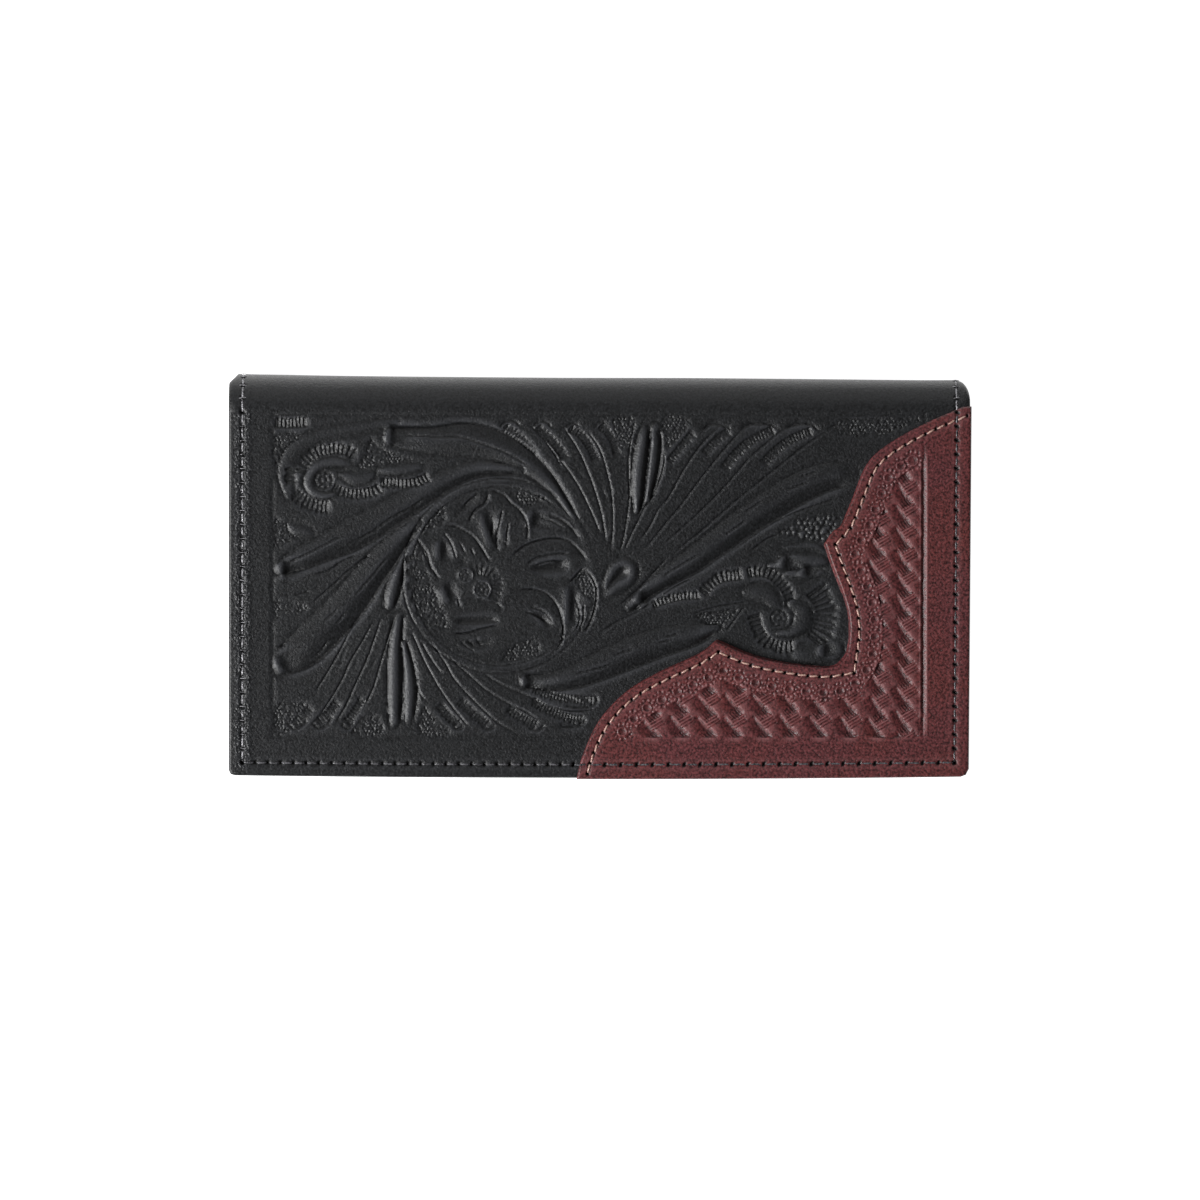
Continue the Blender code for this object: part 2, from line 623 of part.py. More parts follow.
def front_half(half, finishes):
    """The front cover with its overlay, lining, zip pocket and slip pocket."""
    leather = cover("front_cover_leather", half, finishes["leather"])
    side_x = WALLET_LENGTH / 2 - SEAM_INSET
    last_x = WALLET_LENGTH / 2 - LOWER_END_REACH - SEAM_END_MARGIN
    path = seam_line(half, -side_x, last_x)
    sewn_seam("front_seam_thread", leather, path, 0.0, finishes["black_thread"])
    carving(leather, half)
    overlay(half, finishes["overlay"], finishes["tan_thread"], finishes["black_thread"])

    lining_reach = WALLET_LENGTH / 2 - LINING_MARGIN
    lining_away = (HINGE_MARGIN, COVER_DEPTH - LINING_MARGIN)
    panel("front_lining", half, (-lining_reach, lining_reach), lining_away,
          FRONT_LINING_BASE, LINING_THICKNESS, finishes["lining"])
    reach = WALLET_LENGTH / 2 - PANEL_MARGIN
    away = (HINGE_MARGIN, COVER_DEPTH - PANEL_MARGIN)
    panel("zip_pocket_back", half, (-reach, reach), away,
          POCKET_BACK_BASE, POCKET_BACK_THICKNESS, finishes["lining"])
    gusset = panel("zip_pocket_gusset", half, (-reach, reach), away,
                   GUSSET_BASE, GUSSET_THICKNESS, finishes["panel"])
    room = panel("zip_pocket_room", half,
                 (GUSSET_WIDTH - reach, reach - GUSSET_WIDTH),
                 (away[0] + GUSSET_WIDTH, away[1] - GUSSET_WIDTH),
                 GUSSET_BASE - GUSSET_THICKNESS, 3 * GUSSET_THICKNESS, None)
    combine(gusset, room, "DIFFERENCE")
    zip_panel = panel("zip_panel", half, (-reach, reach), away,
                      ZIP_PANEL_BASE, ZIP_PANEL_THICKNESS, finishes["panel"])
    window_half = SLIDER_WIDTH / 2 + ZIP_WINDOW_CLEARANCE
    window = panel("zip_window", half,
                   (-ZIP_WINDOW_LENGTH / 2, ZIP_WINDOW_LENGTH / 2),
                   (ZIP_LINE - window_half, ZIP_LINE + window_half),
                   ZIP_PANEL_BASE - ZIP_PANEL_THICKNESS, 3 * ZIP_PANEL_THICKNESS, None,
                   WINDOW_CORNER_RADIUS)
    combine(zip_panel, window, "DIFFERENCE")
    panel("slip_pocket_panel", half, (-reach, reach), (away[1] - SLIP_PANEL_DEPTH, away[1]),
          SLIP_PANEL_BASE, SLIP_PANEL_THICKNESS, finishes["panel"])


def row_of_teeth(name, side, base, top, material, parent):
    """A row of teeth on its rail, on one side of the zip's line."""
    teeth = int(CHAIN_LENGTH / TOOTH_PITCH)
    first = (CHAIN_LENGTH - teeth * TOOTH_PITCH) / 2 - CHAIN_LENGTH / 2
    gap_half = TOOTH_PITCH * (1 - TOOTH_SHARE) / 2
    stations = [-CHAIN_LENGTH / 2]
    for number in range(teeth):
        left = first + number * TOOTH_PITCH
        stations += [left + gap_half, left + TOOTH_PITCH - gap_half]
    stations.append(CHAIN_LENGTH / 2)
    root = CHAIN_INNER + TOOTH_LENGTH
    maker = bmesh.new()
    corners = {}

    def corner(x, y):
        if (x, y) not in corners:
            corners[x, y] = maker.verts.new((x, side * y, base))
        return corners[x, y]

    for number, (left, right) in enumerate(zip(stations, stations[1:])):
        lows = (root, CHAIN_INNER) if number % 2 else (root,)
        for low, high in zip(lows, (CHAIN_OUTER, root)):
            maker.faces.new(corner(x, y) for x, y in (
                (left, low), (right, low), (right, high), (left, high)
            ))
    floor = list(maker.faces)
    raised = bmesh.ops.extrude_face_region(maker, geom=floor, use_keep_orig=True)["geom"]
    tops = [part for part in raised if isinstance(part, bmesh.types.BMVert)]
    bmesh.ops.translate(maker, verts=tops, vec=(0.0, 0.0, top - base))
    return solid(name, maker, material, parent)


def zip_fastener(half, finishes):
    """Tapes, rows of teeth, stops, slider and pull, along the zip's line."""
    line = pivot("zip_line", half.frame, (0.0, half.side * ZIP_LINE, 0.0))
    tape_reach = ZIP_WINDOW_LENGTH / 2 + TAPE_END_REACH
    chain_base = CHAIN_MIDDLE - CHAIN_THICKNESS / 2
    chain_top = CHAIN_MIDDLE + CHAIN_THICKNESS / 2
    stop_start = CHAIN_LENGTH / 2 + GAP
    for word, side in (("fold_side", -1), ("edge_side", 1)):
        low, high = sorted((side * TAPE_INNER, side * (TAPE_INNER + TAPE_WIDTH)))
        tape = [(-tape_reach, low), (tape_reach, low), (tape_reach, high), (-tape_reach, high)]
        prism(f"zip_tape_{word}", tape, TAPE_BASE, TAPE_BASE + TAPE_THICKNESS,
              finishes["tape"], line)
        row_of_teeth(f"zip_teeth_{word}", side, chain_base, chain_top, finishes["metal"], line)
        low, high = sorted((side * CHAIN_INNER, side * CHAIN_OUTER))
        stop = [
            (stop_start, low), (stop_start + STOP_LENGTH, low),
            (stop_start + STOP_LENGTH, high), (stop_start, high),
        ]
        prism(f"zip_top_stop_{word}", stop, chain_base, chain_top, finishes["metal"], line)
    stop = rounded_rectangle(
        -stop_start - STOP_LENGTH, -CHAIN_OUTER, -stop_start, CHAIN_OUTER, STOP_LENGTH / 4
    )
    prism("zip_bottom_stop", stop, chain_base, chain_top, finishes["metal"], line)
    zip_slider(line, finishes["metal"])


def zip_slider(line, material):
    """The slider, whose web runs between the rows of teeth, and its hinged pull."""
    seat = pivot("zip_slider_seat", line, (SLIDER_REST_X, 0.0, CHAIN_MIDDLE))
    half_length = SLIDER_LENGTH / 2
    outer = SLIDER_WIDTH / 2
    bite = CHANNEL_HALF + SLIDER_PLATE / 2
    lip = TAPE_THICKNESS / 2 + MOVING_CLEARANCE
    slider = block("zip_slider", (-half_length, half_length), (-outer, outer),
                   (CHANNEL_HALF, SLIDER_HALF), material, seat)
    blocks = [(half_length, -outer, outer, -SLIDER_HALF, -CHANNEL_HALF),
              (half_length - SLIDER_STEP, -SLIDER_WEB / 2, SLIDER_WEB / 2, -bite, bite)]
    for low, high in ((-outer + SLIDER_STEP, -FLANGE_INNER), (FLANGE_INNER, outer - SLIDER_STEP)):
        blocks.append((half_length - SLIDER_STEP, low, high, lip, bite))
        blocks.append((half_length - SLIDER_STEP, low, high, -bite, -lip))
    for number, (reach, low, high, base, top) in enumerate(blocks):
        part = block(f"zip_slider_part_{number}", (-reach, reach), (low, high), (base, top),
                     None, seat)
        combine(slider, part, "UNION")

    pin = pivot("zip_pull_pin", seat, (0.0, 0.0, PIN_HEIGHT - CHAIN_MIDDLE))
    drop = SLIDER_PLATE / 2 + PIN_HEIGHT - SLIDER_TOP
    turns = [math.pi * i / (ROUND_SIDES // 2) for i in range(ROUND_SIDES // 2 + 1)]
    lug = [(LUG_RADIUS * math.cos(turn), LUG_RADIUS * math.sin(turn)) for turn in turns]
    lug += [(-LUG_RADIUS, -drop), (LUG_RADIUS, -drop)]
    loops = [[(x, y, z) for x, z in lug] for y in (-LUG_WIDTH / 2, LUG_WIDTH / 2)]
    combine(slider, loft("zip_slider_lug", loops, None, pin), "UNION")
    bore = rod("zip_slider_bore", LUG_HOLE_RADIUS, -LUG_WIDTH, LUG_WIDTH, None, pin)
    combine(slider, bore, "DIFFERENCE")
    zip_pull(pin, material)


def zip_pull(pin, material):
    """The pull, a forked tab whose cross pin turns in the slider's lug."""
    arm_inner = LUG_WIDTH / 2 + GAP
    arm_outer = arm_inner + PULL_ARM
    notch = LUG_RADIUS * math.sqrt(2) + GAP
    shoulder = notch + PULL_ARM
    wide = max(PULL_WIDTH / 2, arm_outer)
    end = PULL_LENGTH - wide
    outline = [
        (PULL_HEEL - PULL_CHAMFER, arm_outer), (-shoulder, arm_outer), (-shoulder - PULL_ARM, wide)
    ]
    for step in range(ROUND_SIDES + 1):
        turn = math.pi * (0.5 + step / ROUND_SIDES)
        outline.append((-end + wide * math.cos(turn), wide * math.sin(turn)))
    outline += [
        (-shoulder - PULL_ARM, -wide), (-shoulder, -arm_outer),
        (PULL_HEEL - PULL_CHAMFER, -arm_outer), (PULL_HEEL, -arm_inner),
        (-notch, -arm_inner), (-notch, arm_inner), (PULL_HEEL, arm_inner),
    ]
    half_thickness = PULL_THICKNESS / 2
    pull = prism("zip_pull", outline, -half_thickness, half_thickness, material, pin)
    reach = arm_inner + PULL_ARM / 2
    combine(pull, rod("zip_pull_cross_pin", PIN_DIAMETER / 2, -reach, reach, None, pin), "UNION")
    hole = rounded_rectangle(
        -end - PULL_HOLE_DIAMETER / 2, -PULL_HOLE_DIAMETER / 2,
        -end + PULL_HOLE_DIAMETER / 2, PULL_HOLE_DIAMETER / 2, PULL_HOLE_DIAMETER * 0.49
    )
    cutter = prism("zip_pull_hole", hole, -PULL_THICKNESS, PULL_THICKNESS, None, pin)
    combine(pull, cutter, "DIFFERENCE")


def main():
    """Build the wallet, from the back half over the fold to the front half."""
    empty_scene()
    finishes = {
        "leather": finish("black_leather", "343537", 0.45),
        "overlay": finish("brown_leather", "5e3331", 0.45),
        "panel": finish("dark_brown_leather", "3b2a24", 0.6),
        "lining": finish("black_lining", "232325", 0.8),
        "film": finish("clear_vinyl", "dfe3e6", 0.15, alpha=0.4),
        "black_thread": finish("black_thread", "2a2a2c", 0.7),
        "tan_thread": finish("tan_thread", "dba58f", 0.7),
        "tape": finish("black_zip_tape", "1e1e20", 0.85),
        "metal": finish("nickel_plate", "b9b6ae", 0.3, metallic=1.0),
    }
    hinge_line = (-CENTRE_SHIFT, HINGE_LINE_Y + CENTRE_SHIFT, 0.0)
    back = Half(pivot("back_half", None, hinge_line), -1)
    back_half(back, finishes)

    frame = back.frame
    start = (0.0, 0.0, 0.0)
    short_length = WALLET_LENGTH - 2 * FOLD_END_RELIEF
    lengths = (WALLET_LENGTH, short_length, short_length, WALLET_LENGTH)
    for number, name in enumerate(FOLD_STRIPS):
        frame = pivot(f"fold_hinge_{number + 1}", frame, start, HINGE_TURN)
        fold_strip(name, frame, lengths[number], lengths[number + 1], finishes["leather"])
        start = (0.0, FOLD_CHORD, 0.0)
    front = Half(pivot(f"fold_hinge_{FOLD_HINGES}", frame, start, HINGE_TURN), 1)
    front_half(front, finishes)
    zip_fastener(front, finishes)
    print("closed height", round(CLOSED_HEIGHT / MM, 3), "hinge line", round(HINGE_LINE_Y / MM, 3),
          "chord", round(FOLD_CHORD / MM, 3), "slider travel", round(SLIDER_TRAVEL / MM, 3))


main()
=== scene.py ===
"""Looks of a long western wallet: tooled covers, a scalloped overlay, the fold, the seams and the inside."""
from __future__ import annotations

import logging
import math
from dataclasses import dataclass
from enum import Enum

import bpy
import numpy as np
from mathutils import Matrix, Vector


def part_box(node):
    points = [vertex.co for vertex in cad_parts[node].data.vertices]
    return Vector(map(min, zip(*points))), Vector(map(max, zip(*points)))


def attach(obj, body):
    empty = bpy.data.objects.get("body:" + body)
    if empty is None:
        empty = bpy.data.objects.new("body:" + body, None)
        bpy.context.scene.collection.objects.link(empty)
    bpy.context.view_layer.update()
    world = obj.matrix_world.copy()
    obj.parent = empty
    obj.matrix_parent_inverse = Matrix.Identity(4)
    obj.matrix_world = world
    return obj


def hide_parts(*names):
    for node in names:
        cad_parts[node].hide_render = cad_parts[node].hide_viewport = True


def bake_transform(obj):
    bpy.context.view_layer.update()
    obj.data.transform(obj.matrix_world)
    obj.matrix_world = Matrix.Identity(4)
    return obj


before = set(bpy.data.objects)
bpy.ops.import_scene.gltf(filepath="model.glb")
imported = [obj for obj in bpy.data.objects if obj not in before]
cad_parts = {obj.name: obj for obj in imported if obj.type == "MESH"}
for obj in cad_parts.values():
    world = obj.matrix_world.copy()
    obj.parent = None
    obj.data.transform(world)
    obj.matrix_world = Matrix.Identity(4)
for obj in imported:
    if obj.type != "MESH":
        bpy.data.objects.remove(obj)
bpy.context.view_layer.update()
LOG = logging.getLogger("wallet")
MM = 0.001

Point = tuple[float, float]
Box = tuple[float, float, float, float]
Window = tuple[slice, slice]
Array = np.ndarray
Piece = bpy.types.Object
Pieces = list[tuple[Piece, str]]


def linear(hex_colour: str) -> tuple[float, float, float, float]:
    """Turns an sRGB hex colour to linear light.

    Args:
        hex_colour: the colour, such as "#35363a".

    Returns:
        Red, green, blue and alpha.
    """
    parts = [int(hex_colour[i:i + 2], 16) / 255 for i in (1, 3, 5)]
    bright = [p / 12.92 if p <= 0.04045 else ((p + 0.055) / 1.055) ** 2.4 for p in parts]
    return (*bright, 1.0)


def add(tree: bpy.types.NodeTree, kind: str, inputs: dict | None = None, **settings) -> bpy.types.Node:
    """Adds one node with its settings, input values and links.

    Args:
        tree: the node tree that gets it.
        kind: the node's type name.
        inputs: a value, another node's output, or another node for its first output in use, for each input
            by name or number.
        settings: the node's own properties.

    Returns:
        The new node.
    """
    made = tree.nodes.new(kind)
    for name, value in settings.items():
        setattr(made, name, value)
    for key, value in (inputs or {}).items():
        if isinstance(value, bpy.types.Node):
            value = next(output for output in value.outputs if output.enabled)
        if isinstance(value, bpy.types.NodeSocket):
            tree.links.new(value, made.inputs[key])
        else:
            made.inputs[key].default_value = value
    return made


def smooth(points: list[tuple[float, ...]], steps: int = 6, closed: bool = False) -> Array:
    """Draws a Catmull-Rom curve through points of two or three numbers.

    Args:
        points: the places the curve goes through.
        steps: how many short pieces each span gets.
        closed: whether the curve comes back to its start.

    Returns:
        One row for each place on the curve.
    """
    p = np.array(points, float)
    if closed:
        p = np.vstack([p[-1], p, p[0], p[1]])
    else:
        p = np.vstack([2 * p[0] - p[1], p, 2 * p[-1] - p[-2]])
    rows = []
    for a, b, c, d in zip(p, p[1:], p[2:], p[3:]):
        for t in np.arange(steps) / steps:
            rows.append(0.5 * (2 * b + (c - a) * t + (2 * a - 5 * b + 4 * c - d) * t ** 2
                               + (3 * b - a - 3 * c + d) * t ** 3))
    rows.append(p[1] if closed else p[-2])
    return np.array(rows)


def run_length(path: Array) -> Array:
    """Gives the length along a path up to each of its points."""
    steps = np.linalg.norm(np.diff(path, axis=0), axis=1)
    return np.concatenate([[0.0], np.cumsum(steps)])


def spaced(path: Array, pitch: float) -> Array:
    """Puts points along a path at one spacing, as near to the pitch as fits.

    Args:
        path: the path's points, of two or three numbers.
        pitch: the wanted spacing.

    Returns:
        The new points, both ends among them.
    """
    run = run_length(path)
    count = max(2, int(run[-1] / pitch + 0.5) + 1)
    at = np.linspace(0, run[-1], count)
    return np.stack([np.interp(at, run, path[:, k]) for k in range(path.shape[1])], 1)


def ease(value: Array) -> Array:
    """Eases a value from 0 to 1, flat at both ends."""
    t = np.clip(value, 0, 1)
    return t * t * (3 - 2 * t)


def tent(off: Array, half: float) -> Array:
    """Falls evenly from 1 on a line to 0 at half its width."""
    return np.clip(1 - np.abs(off) / half, 0, 1)


def arc(middle: Point, radius: float, turns: Array) -> list[Point]:
    """Gives the points of a circle at some turns in radians."""
    return [(middle[0] + radius * math.cos(a), middle[1] + radius * math.sin(a)) for a in turns]


def tube_faces(rings: int, sides: int) -> list[list[int]]:
    """Gives the faces of a tube with both ends closed.

    Args:
        rings: how many rings of points it has.
        sides: how many points a ring has.

    Returns:
        The point numbers of each face.
    """
    faces = []
    for k in range(rings - 1):
        for n in range(sides):
            m = (n + 1) % sides
            faces.append([k * sides + n, (k + 1) * sides + n, (k + 1) * sides + m, k * sides + m])
    faces.append(list(range(sides)))
    faces.append([(rings - 1) * sides + n for n in reversed(range(sides))])
    return faces


def blurred(field: Array, reach: int) -> Array:
    """Blurs a height map with a bell curve.

    Args:
        field: the heights.
        reach: the curve's spread, in cells.

    Returns:
        The blurred heights.
    """
    bell = np.exp(-0.5 * (np.arange(-2 * reach, 2 * reach + 1) / reach) ** 2)
    bell /= bell.sum()
    padded = np.pad(field, 2 * reach, mode="edge")
    across = sum(w * padded[:, k:k + field.shape[1]] for k, w in enumerate(bell))
    return sum(w * across[k:k + field.shape[0], :] for k, w in enumerate(bell))


def new_object(name: str, vertices: Array, faces: list, material: bpy.types.Material,
               crease: float = 40.0) -> Piece:
    """Makes a mesh object from points in millimetres.

    Args:
        name: the piece's name.
        vertices: its points, in millimetres.
        faces: the point numbers of each face.
        material: its finish.
        crease: the angle in degrees from which an edge stays sharp.

    Returns:
        The new object, in the scene.
    """
    mesh = bpy.data.meshes.new(name)
    mesh.from_pydata((np.asarray(vertices, float) * MM).tolist(), [], [list(f) for f in faces])
    mesh.update()
    mesh.polygons.foreach_set("use_smooth", [True] * len(mesh.polygons))
    mesh.set_sharp_from_angle(angle=math.radians(crease))
    mesh.materials.append(material)
    made = bpy.data.objects.new(name, mesh)
    bpy.context.scene.collection.objects.link(made)
    return made


def point_values(piece: Piece, name: str, values: Array) -> None:
    """Keeps one number for each point of a mesh, for its material to read."""
    kept = piece.data.attributes.new(name, "FLOAT", "POINT")
    kept.data.foreach_set("value", np.asarray(values, np.float32))


# Finishes

NOISE = "ShaderNodeTexNoise"
RANGE = "ShaderNodeMapRange"
MIX = "ShaderNodeMix"
BUMP = "ShaderNodeBump"
# Near black painted into the awl holes: painted shade inside them
HOLE_SHADE = "#060606"
# A wave texture of scale 1 repeats after this length
WAVE_MM = 314


@dataclass(frozen=True)
class Finish:
    """What every finish has: the name of the real material, and how its node tree starts and ends."""

    name: str

    def start(self) -> tuple[bpy.types.NodeTree, bpy.types.NodeSocket]:
        """Makes an empty material.

        Returns:
            Its node tree and the place on the piece, in metres.
        """
        made = bpy.data.materials.new(self.name)
        made.use_nodes = True
        made.node_tree.nodes.clear()
        return made.node_tree, add(made.node_tree, "ShaderNodeTexCoord").outputs["Object"]

    def end(self, tree: bpy.types.NodeTree, inputs: dict) -> None:
        """Adds the shader with its inputs, and the output."""
        shader = add(tree, "ShaderNodeBsdfPrincipled", inputs)
        add(tree, "ShaderNodeOutputMaterial", {"Surface": shader})

    def done(self) -> bpy.types.Material:
        """Gives the finished material by its name."""
        return bpy.data.materials[self.name]


@dataclass(frozen=True)
class TooledLeather(Finish):
    """Vegetable-tanned cowhide, carved or stamped, dyed and waxed.

    The dye sits dark in the cuts and is rubbed paler on the high places, and part of both is painted light:
    painted shade in the cuts and painted highlight on the high places. The wax gives a satin sheen.
    """

    body: str
    # The deep colour of the cuts is partly dye and partly painted shade; the colour after it, for the high
    # places, is partly rubbed wear and partly painted highlight
    deep: str
    worn_and_lit: str
    patch: str
    roughness: float = 0.4
    grain_mm: float = 0.55
    # How many times brighter the brightest grain specks are; these specks are partly the grain's tone and
    # partly painted glints
    fleck: float = 1.8

    def make(self) -> None:
        """Makes the material."""
        tree, at = self.start()
        carve, hole = (add(tree, "ShaderNodeAttribute", attribute_name=name).outputs["Fac"]
                       for name in ("carve", "hole"))
        cloud = add(tree, NOISE, {"Vector": at, "Scale": 60.0, "Detail": 4.0, "Roughness": 0.6})
        fine = add(tree, NOISE, {"Vector": at, "Scale": 1000 / self.grain_mm, "Detail": 3.0,
                                 "Roughness": 0.7})
        pores = add(tree, "ShaderNodeTexVoronoi", {"Vector": at, "Scale": 1000 / (self.grain_mm * 1.5)})
        tone = add(tree, RANGE, {"Value": cloud, "From Min": 0.42, "From Max": 0.66})
        dyed = add(tree, MIX, {"Factor": tone, "A": linear(self.body), "B": linear(self.patch)},
                   data_type="RGBA")
        # Random grain specks brighten the colour: partly the grain's own tone, partly painted glints on it
        grain_and_glint_speck = add(tree, RANGE, {"Value": fine, "From Min": 0.38, "From Max": 0.66, "To Min": 0.35,
                                  "To Max": self.fleck})
        colour = add(tree, MIX, {"Factor": 1.0, "A": dyed, "B": grain_and_glint_speck}, data_type="RGBA",
                     blend_type="MULTIPLY")
        # Painted shade and highlight: the carve value mixes the deep colour into the cuts and the paler
        # colour onto the high places, partly dye and wear as well
        low = add(tree, RANGE, {"Value": carve, "From Min": -0.02, "From Max": -0.26, "To Min": 0.0,
                                "To Max": 0.68})
        high = add(tree, RANGE, {"Value": carve, "From Min": 0.02, "From Max": 0.15, "To Min": 0.0,
                                 "To Max": 0.75})
        # The awl holes get near black: painted shade inside them
        for share, over in ((low, self.deep), (high, self.worn_and_lit), (hole, HOLE_SHADE)):
            colour = add(tree, MIX, {"Factor": share, "A": colour, "B": linear(over)}, data_type="RGBA")
        rough = add(tree, RANGE, {"Value": fine, "From Min": 0.3, "From Max": 0.8,
                                  "To Min": self.roughness - 0.08, "To Max": self.roughness + 0.14})
        grain = add(tree, BUMP, {"Strength": 0.8, "Distance": 0.00017, "Height": fine})
        pitted = add(tree, BUMP, {"Strength": 0.25, "Distance": 0.00012, "Height": pores, "Normal": grain})
        self.end(tree, {"Base Color": colour, "Roughness": rough, "Normal": pitted, "IOR": 1.52})


@dataclass(frozen=True)
class SmoothLeather(Finish):
    """Chrome-tanned side leather with a fine pebbled grain: soft, matte, a little paler on the pebbles."""

    body: str
    deep: str
    roughness: float = 0.52
    pebble_mm: float = 0.9

    def make(self) -> None:
        """Makes the material."""
        tree, at = self.start()
        bend = add(tree, NOISE, {"Vector": at, "Scale": 700.0, "Detail": 2.0}).outputs["Color"]
        moved = add(tree, "ShaderNodeVectorMath", {0: bend, "Scale": 0.0006}, operation="SCALE")
        bent = add(tree, "ShaderNodeVectorMath", {0: at, 1: moved}, operation="ADD")
        pebble = add(tree, "ShaderNodeTexVoronoi", {"Vector": bent, "Scale": 1000 / self.pebble_mm},
                     feature="DISTANCE_TO_EDGE")
        cloud = add(tree, NOISE, {"Vector": at, "Scale": 45.0, "Detail": 5.0})
        hole = add(tree, "ShaderNodeAttribute", attribute_name="hole").outputs["Fac"]
        top = add(tree, RANGE, {"Value": pebble, "From Min": 0.0, "From Max": 0.18})
        dyed = add(tree, MIX, {"Factor": top, "A": linear(self.deep), "B": linear(self.body)},
                   data_type="RGBA")
        shade = add(tree, RANGE, {"Value": cloud, "From Min": 0.3, "From Max": 0.7, "To Min": 0.8,
                                  "To Max": 1.2})
        toned = add(tree, MIX, {"Factor": 1.0, "A": dyed, "B": shade}, data_type="RGBA",
                    blend_type="MULTIPLY")
        # The awl holes are painted near black: painted shade inside them
        hole_shaded = add(tree, MIX, {"Factor": hole, "A": toned, "B": linear(HOLE_SHADE)}, data_type="RGBA")
        rough = add(tree, RANGE, {"Value": cloud, "To Min": self.roughness - 0.1,
                                  "To Max": self.roughness + 0.12})
        bump = add(tree, BUMP, {"Strength": 0.4, "Distance": 0.0001, "Height": top})
        self.end(tree, {"Base Color": hole_shaded, "Roughness": rough, "Normal": bump})


@dataclass(frozen=True)
class WovenCloth(Finish):
    """Plain-woven cloth: two crossed sets of threads, matte, with a soft sheen at the edges."""

    body: str
    thread: str
    thread_mm: float
    turn: float = 0.0

    def make(self) -> None:
        """Makes the material."""
        tree, place = self.start()
        at = add(tree, "ShaderNodeMapping", {"Vector": place, "Rotation": (0, 0, self.turn)})
        waves = {n: add(tree, "ShaderNodeTexWave", {"Vector": at, "Scale": WAVE_MM / self.thread_mm,
                                                    "Distortion": 0.4, "Detail": 1.0},
                        bands_direction=axis, wave_profile="SIN").outputs["Fac"]
                 for n, axis in enumerate("XY")}
        weave = add(tree, "ShaderNodeMath", waves, operation="MULTIPLY")
        slub = add(tree, NOISE, {"Vector": at, "Scale": 300.0, "Detail": 3.0})
        dyed = add(tree, MIX, {"Factor": weave, "A": linear(self.body), "B": linear(self.thread)},
                   data_type="RGBA")
        shade = add(tree, RANGE, {"Value": slub, "To Min": 0.7, "To Max": 1.3})
        toned = add(tree, MIX, {"Factor": 1.0, "A": dyed, "B": shade}, data_type="RGBA",
                    blend_type="MULTIPLY")
        rough = add(tree, RANGE, {"Value": slub, "To Min": 0.7, "To Max": 0.95})
        bump = add(tree, BUMP, {"Strength": 0.5, "Distance": 0.0001, "Height": weave})
        self.end(tree, {"Base Color": toned, "Roughness": rough, "Normal": bump, "Sheen Weight": 0.15})


@dataclass(frozen=True)
class WaxedThread(Finish):
    """Twisted polyester thread drawn through wax: fine fibres along it, and small bright glints that are
    painted into its colour.
    """

    body: str
    shade: str
    roughness: float = 0.38

    def make(self) -> None:
        """Makes the material."""
        tree, at = self.start()
        fibre = add(tree, NOISE, {"Vector": at, "Scale": 2600.0, "Detail": 3.0})
        # The fibre noise shows the body colour on some fibres; on the black threads that pale colour is
        # painted sheen and glints
        worn_and_lit = add(tree, RANGE, {"Value": fibre, "From Min": 0.38, "From Max": 0.62})
        dyed = add(tree, MIX, {"Factor": worn_and_lit, "A": linear(self.shade), "B": linear(self.body)},
                   data_type="RGBA")
        rough = add(tree, RANGE, {"Value": fibre, "To Min": self.roughness - 0.1,
                                  "To Max": self.roughness + 0.2})
        bump = add(tree, BUMP, {"Strength": 0.3, "Distance": 0.00005, "Height": fibre})
        self.end(tree, {"Base Color": dyed, "Roughness": rough, "Normal": bump, "Coat Weight": 0.3})


@dataclass(frozen=True)
class NickelPlate(Finish):
    """Nickel-plated zinc casting, tumbled: warm grey metal with faint scratches and duller low places."""

    body: str = "#b9b4a8"
    stain: str = "#7f796c"

    def make(self) -> None:
        """Makes the material."""
        tree, at = self.start()
        cloud = add(tree, NOISE, {"Vector": at, "Scale": 350.0, "Detail": 5.0})
        scratch = add(tree, NOISE, {"Vector": at, "Scale": 2600.0, "Detail": 2.0})
        stain = add(tree, RANGE, {"Value": cloud, "From Min": 0.5, "From Max": 0.75})
        dyed = add(tree, MIX, {"Factor": stain, "A": linear(self.body), "B": linear(self.stain)},
                   data_type="RGBA")
        rough = add(tree, RANGE, {"Value": cloud, "To Min": 0.18, "To Max": 0.42})
        bump = add(tree, BUMP, {"Strength": 0.12, "Distance": 0.00003, "Height": scratch})
        self.end(tree, {"Base Color": dyed, "Roughness": rough, "Normal": bump, "Metallic": 1.0})


@dataclass(frozen=True)
class ClearVinyl(Finish):
    """Calendered clear PVC film: see-through, glossy, faintly wavy and a little scuffed, with a painted sheen
    on its wave crests.
    """

    body: str = "#7e868b"
    lit_crest: str = "#a3abb0"

    def make(self) -> None:
        """Makes the material."""
        tree, at = self.start()
        wave = add(tree, NOISE, {"Vector": at, "Scale": 90.0, "Detail": 2.0})
        scuff = add(tree, NOISE, {"Vector": at, "Scale": 1200.0, "Detail": 4.0})
        rough = add(tree, RANGE, {"Value": scuff, "From Min": 0.45, "From Max": 0.8, "To Min": 0.05,
                                  "To Max": 0.3})
        # Painted sheen: the colour is paler where the film's waves rise
        crest_sheen = add(tree, MIX, {"Factor": wave, "A": linear(self.body), "B": linear(self.lit_crest)},
                   data_type="RGBA")
        bump = add(tree, BUMP, {"Strength": 0.2, "Distance": 0.0002, "Height": wave})
        self.end(tree, {"Base Color": crest_sheen, "Roughness": rough, "Normal": bump, "IOR": 1.53, "Alpha": 0.14})


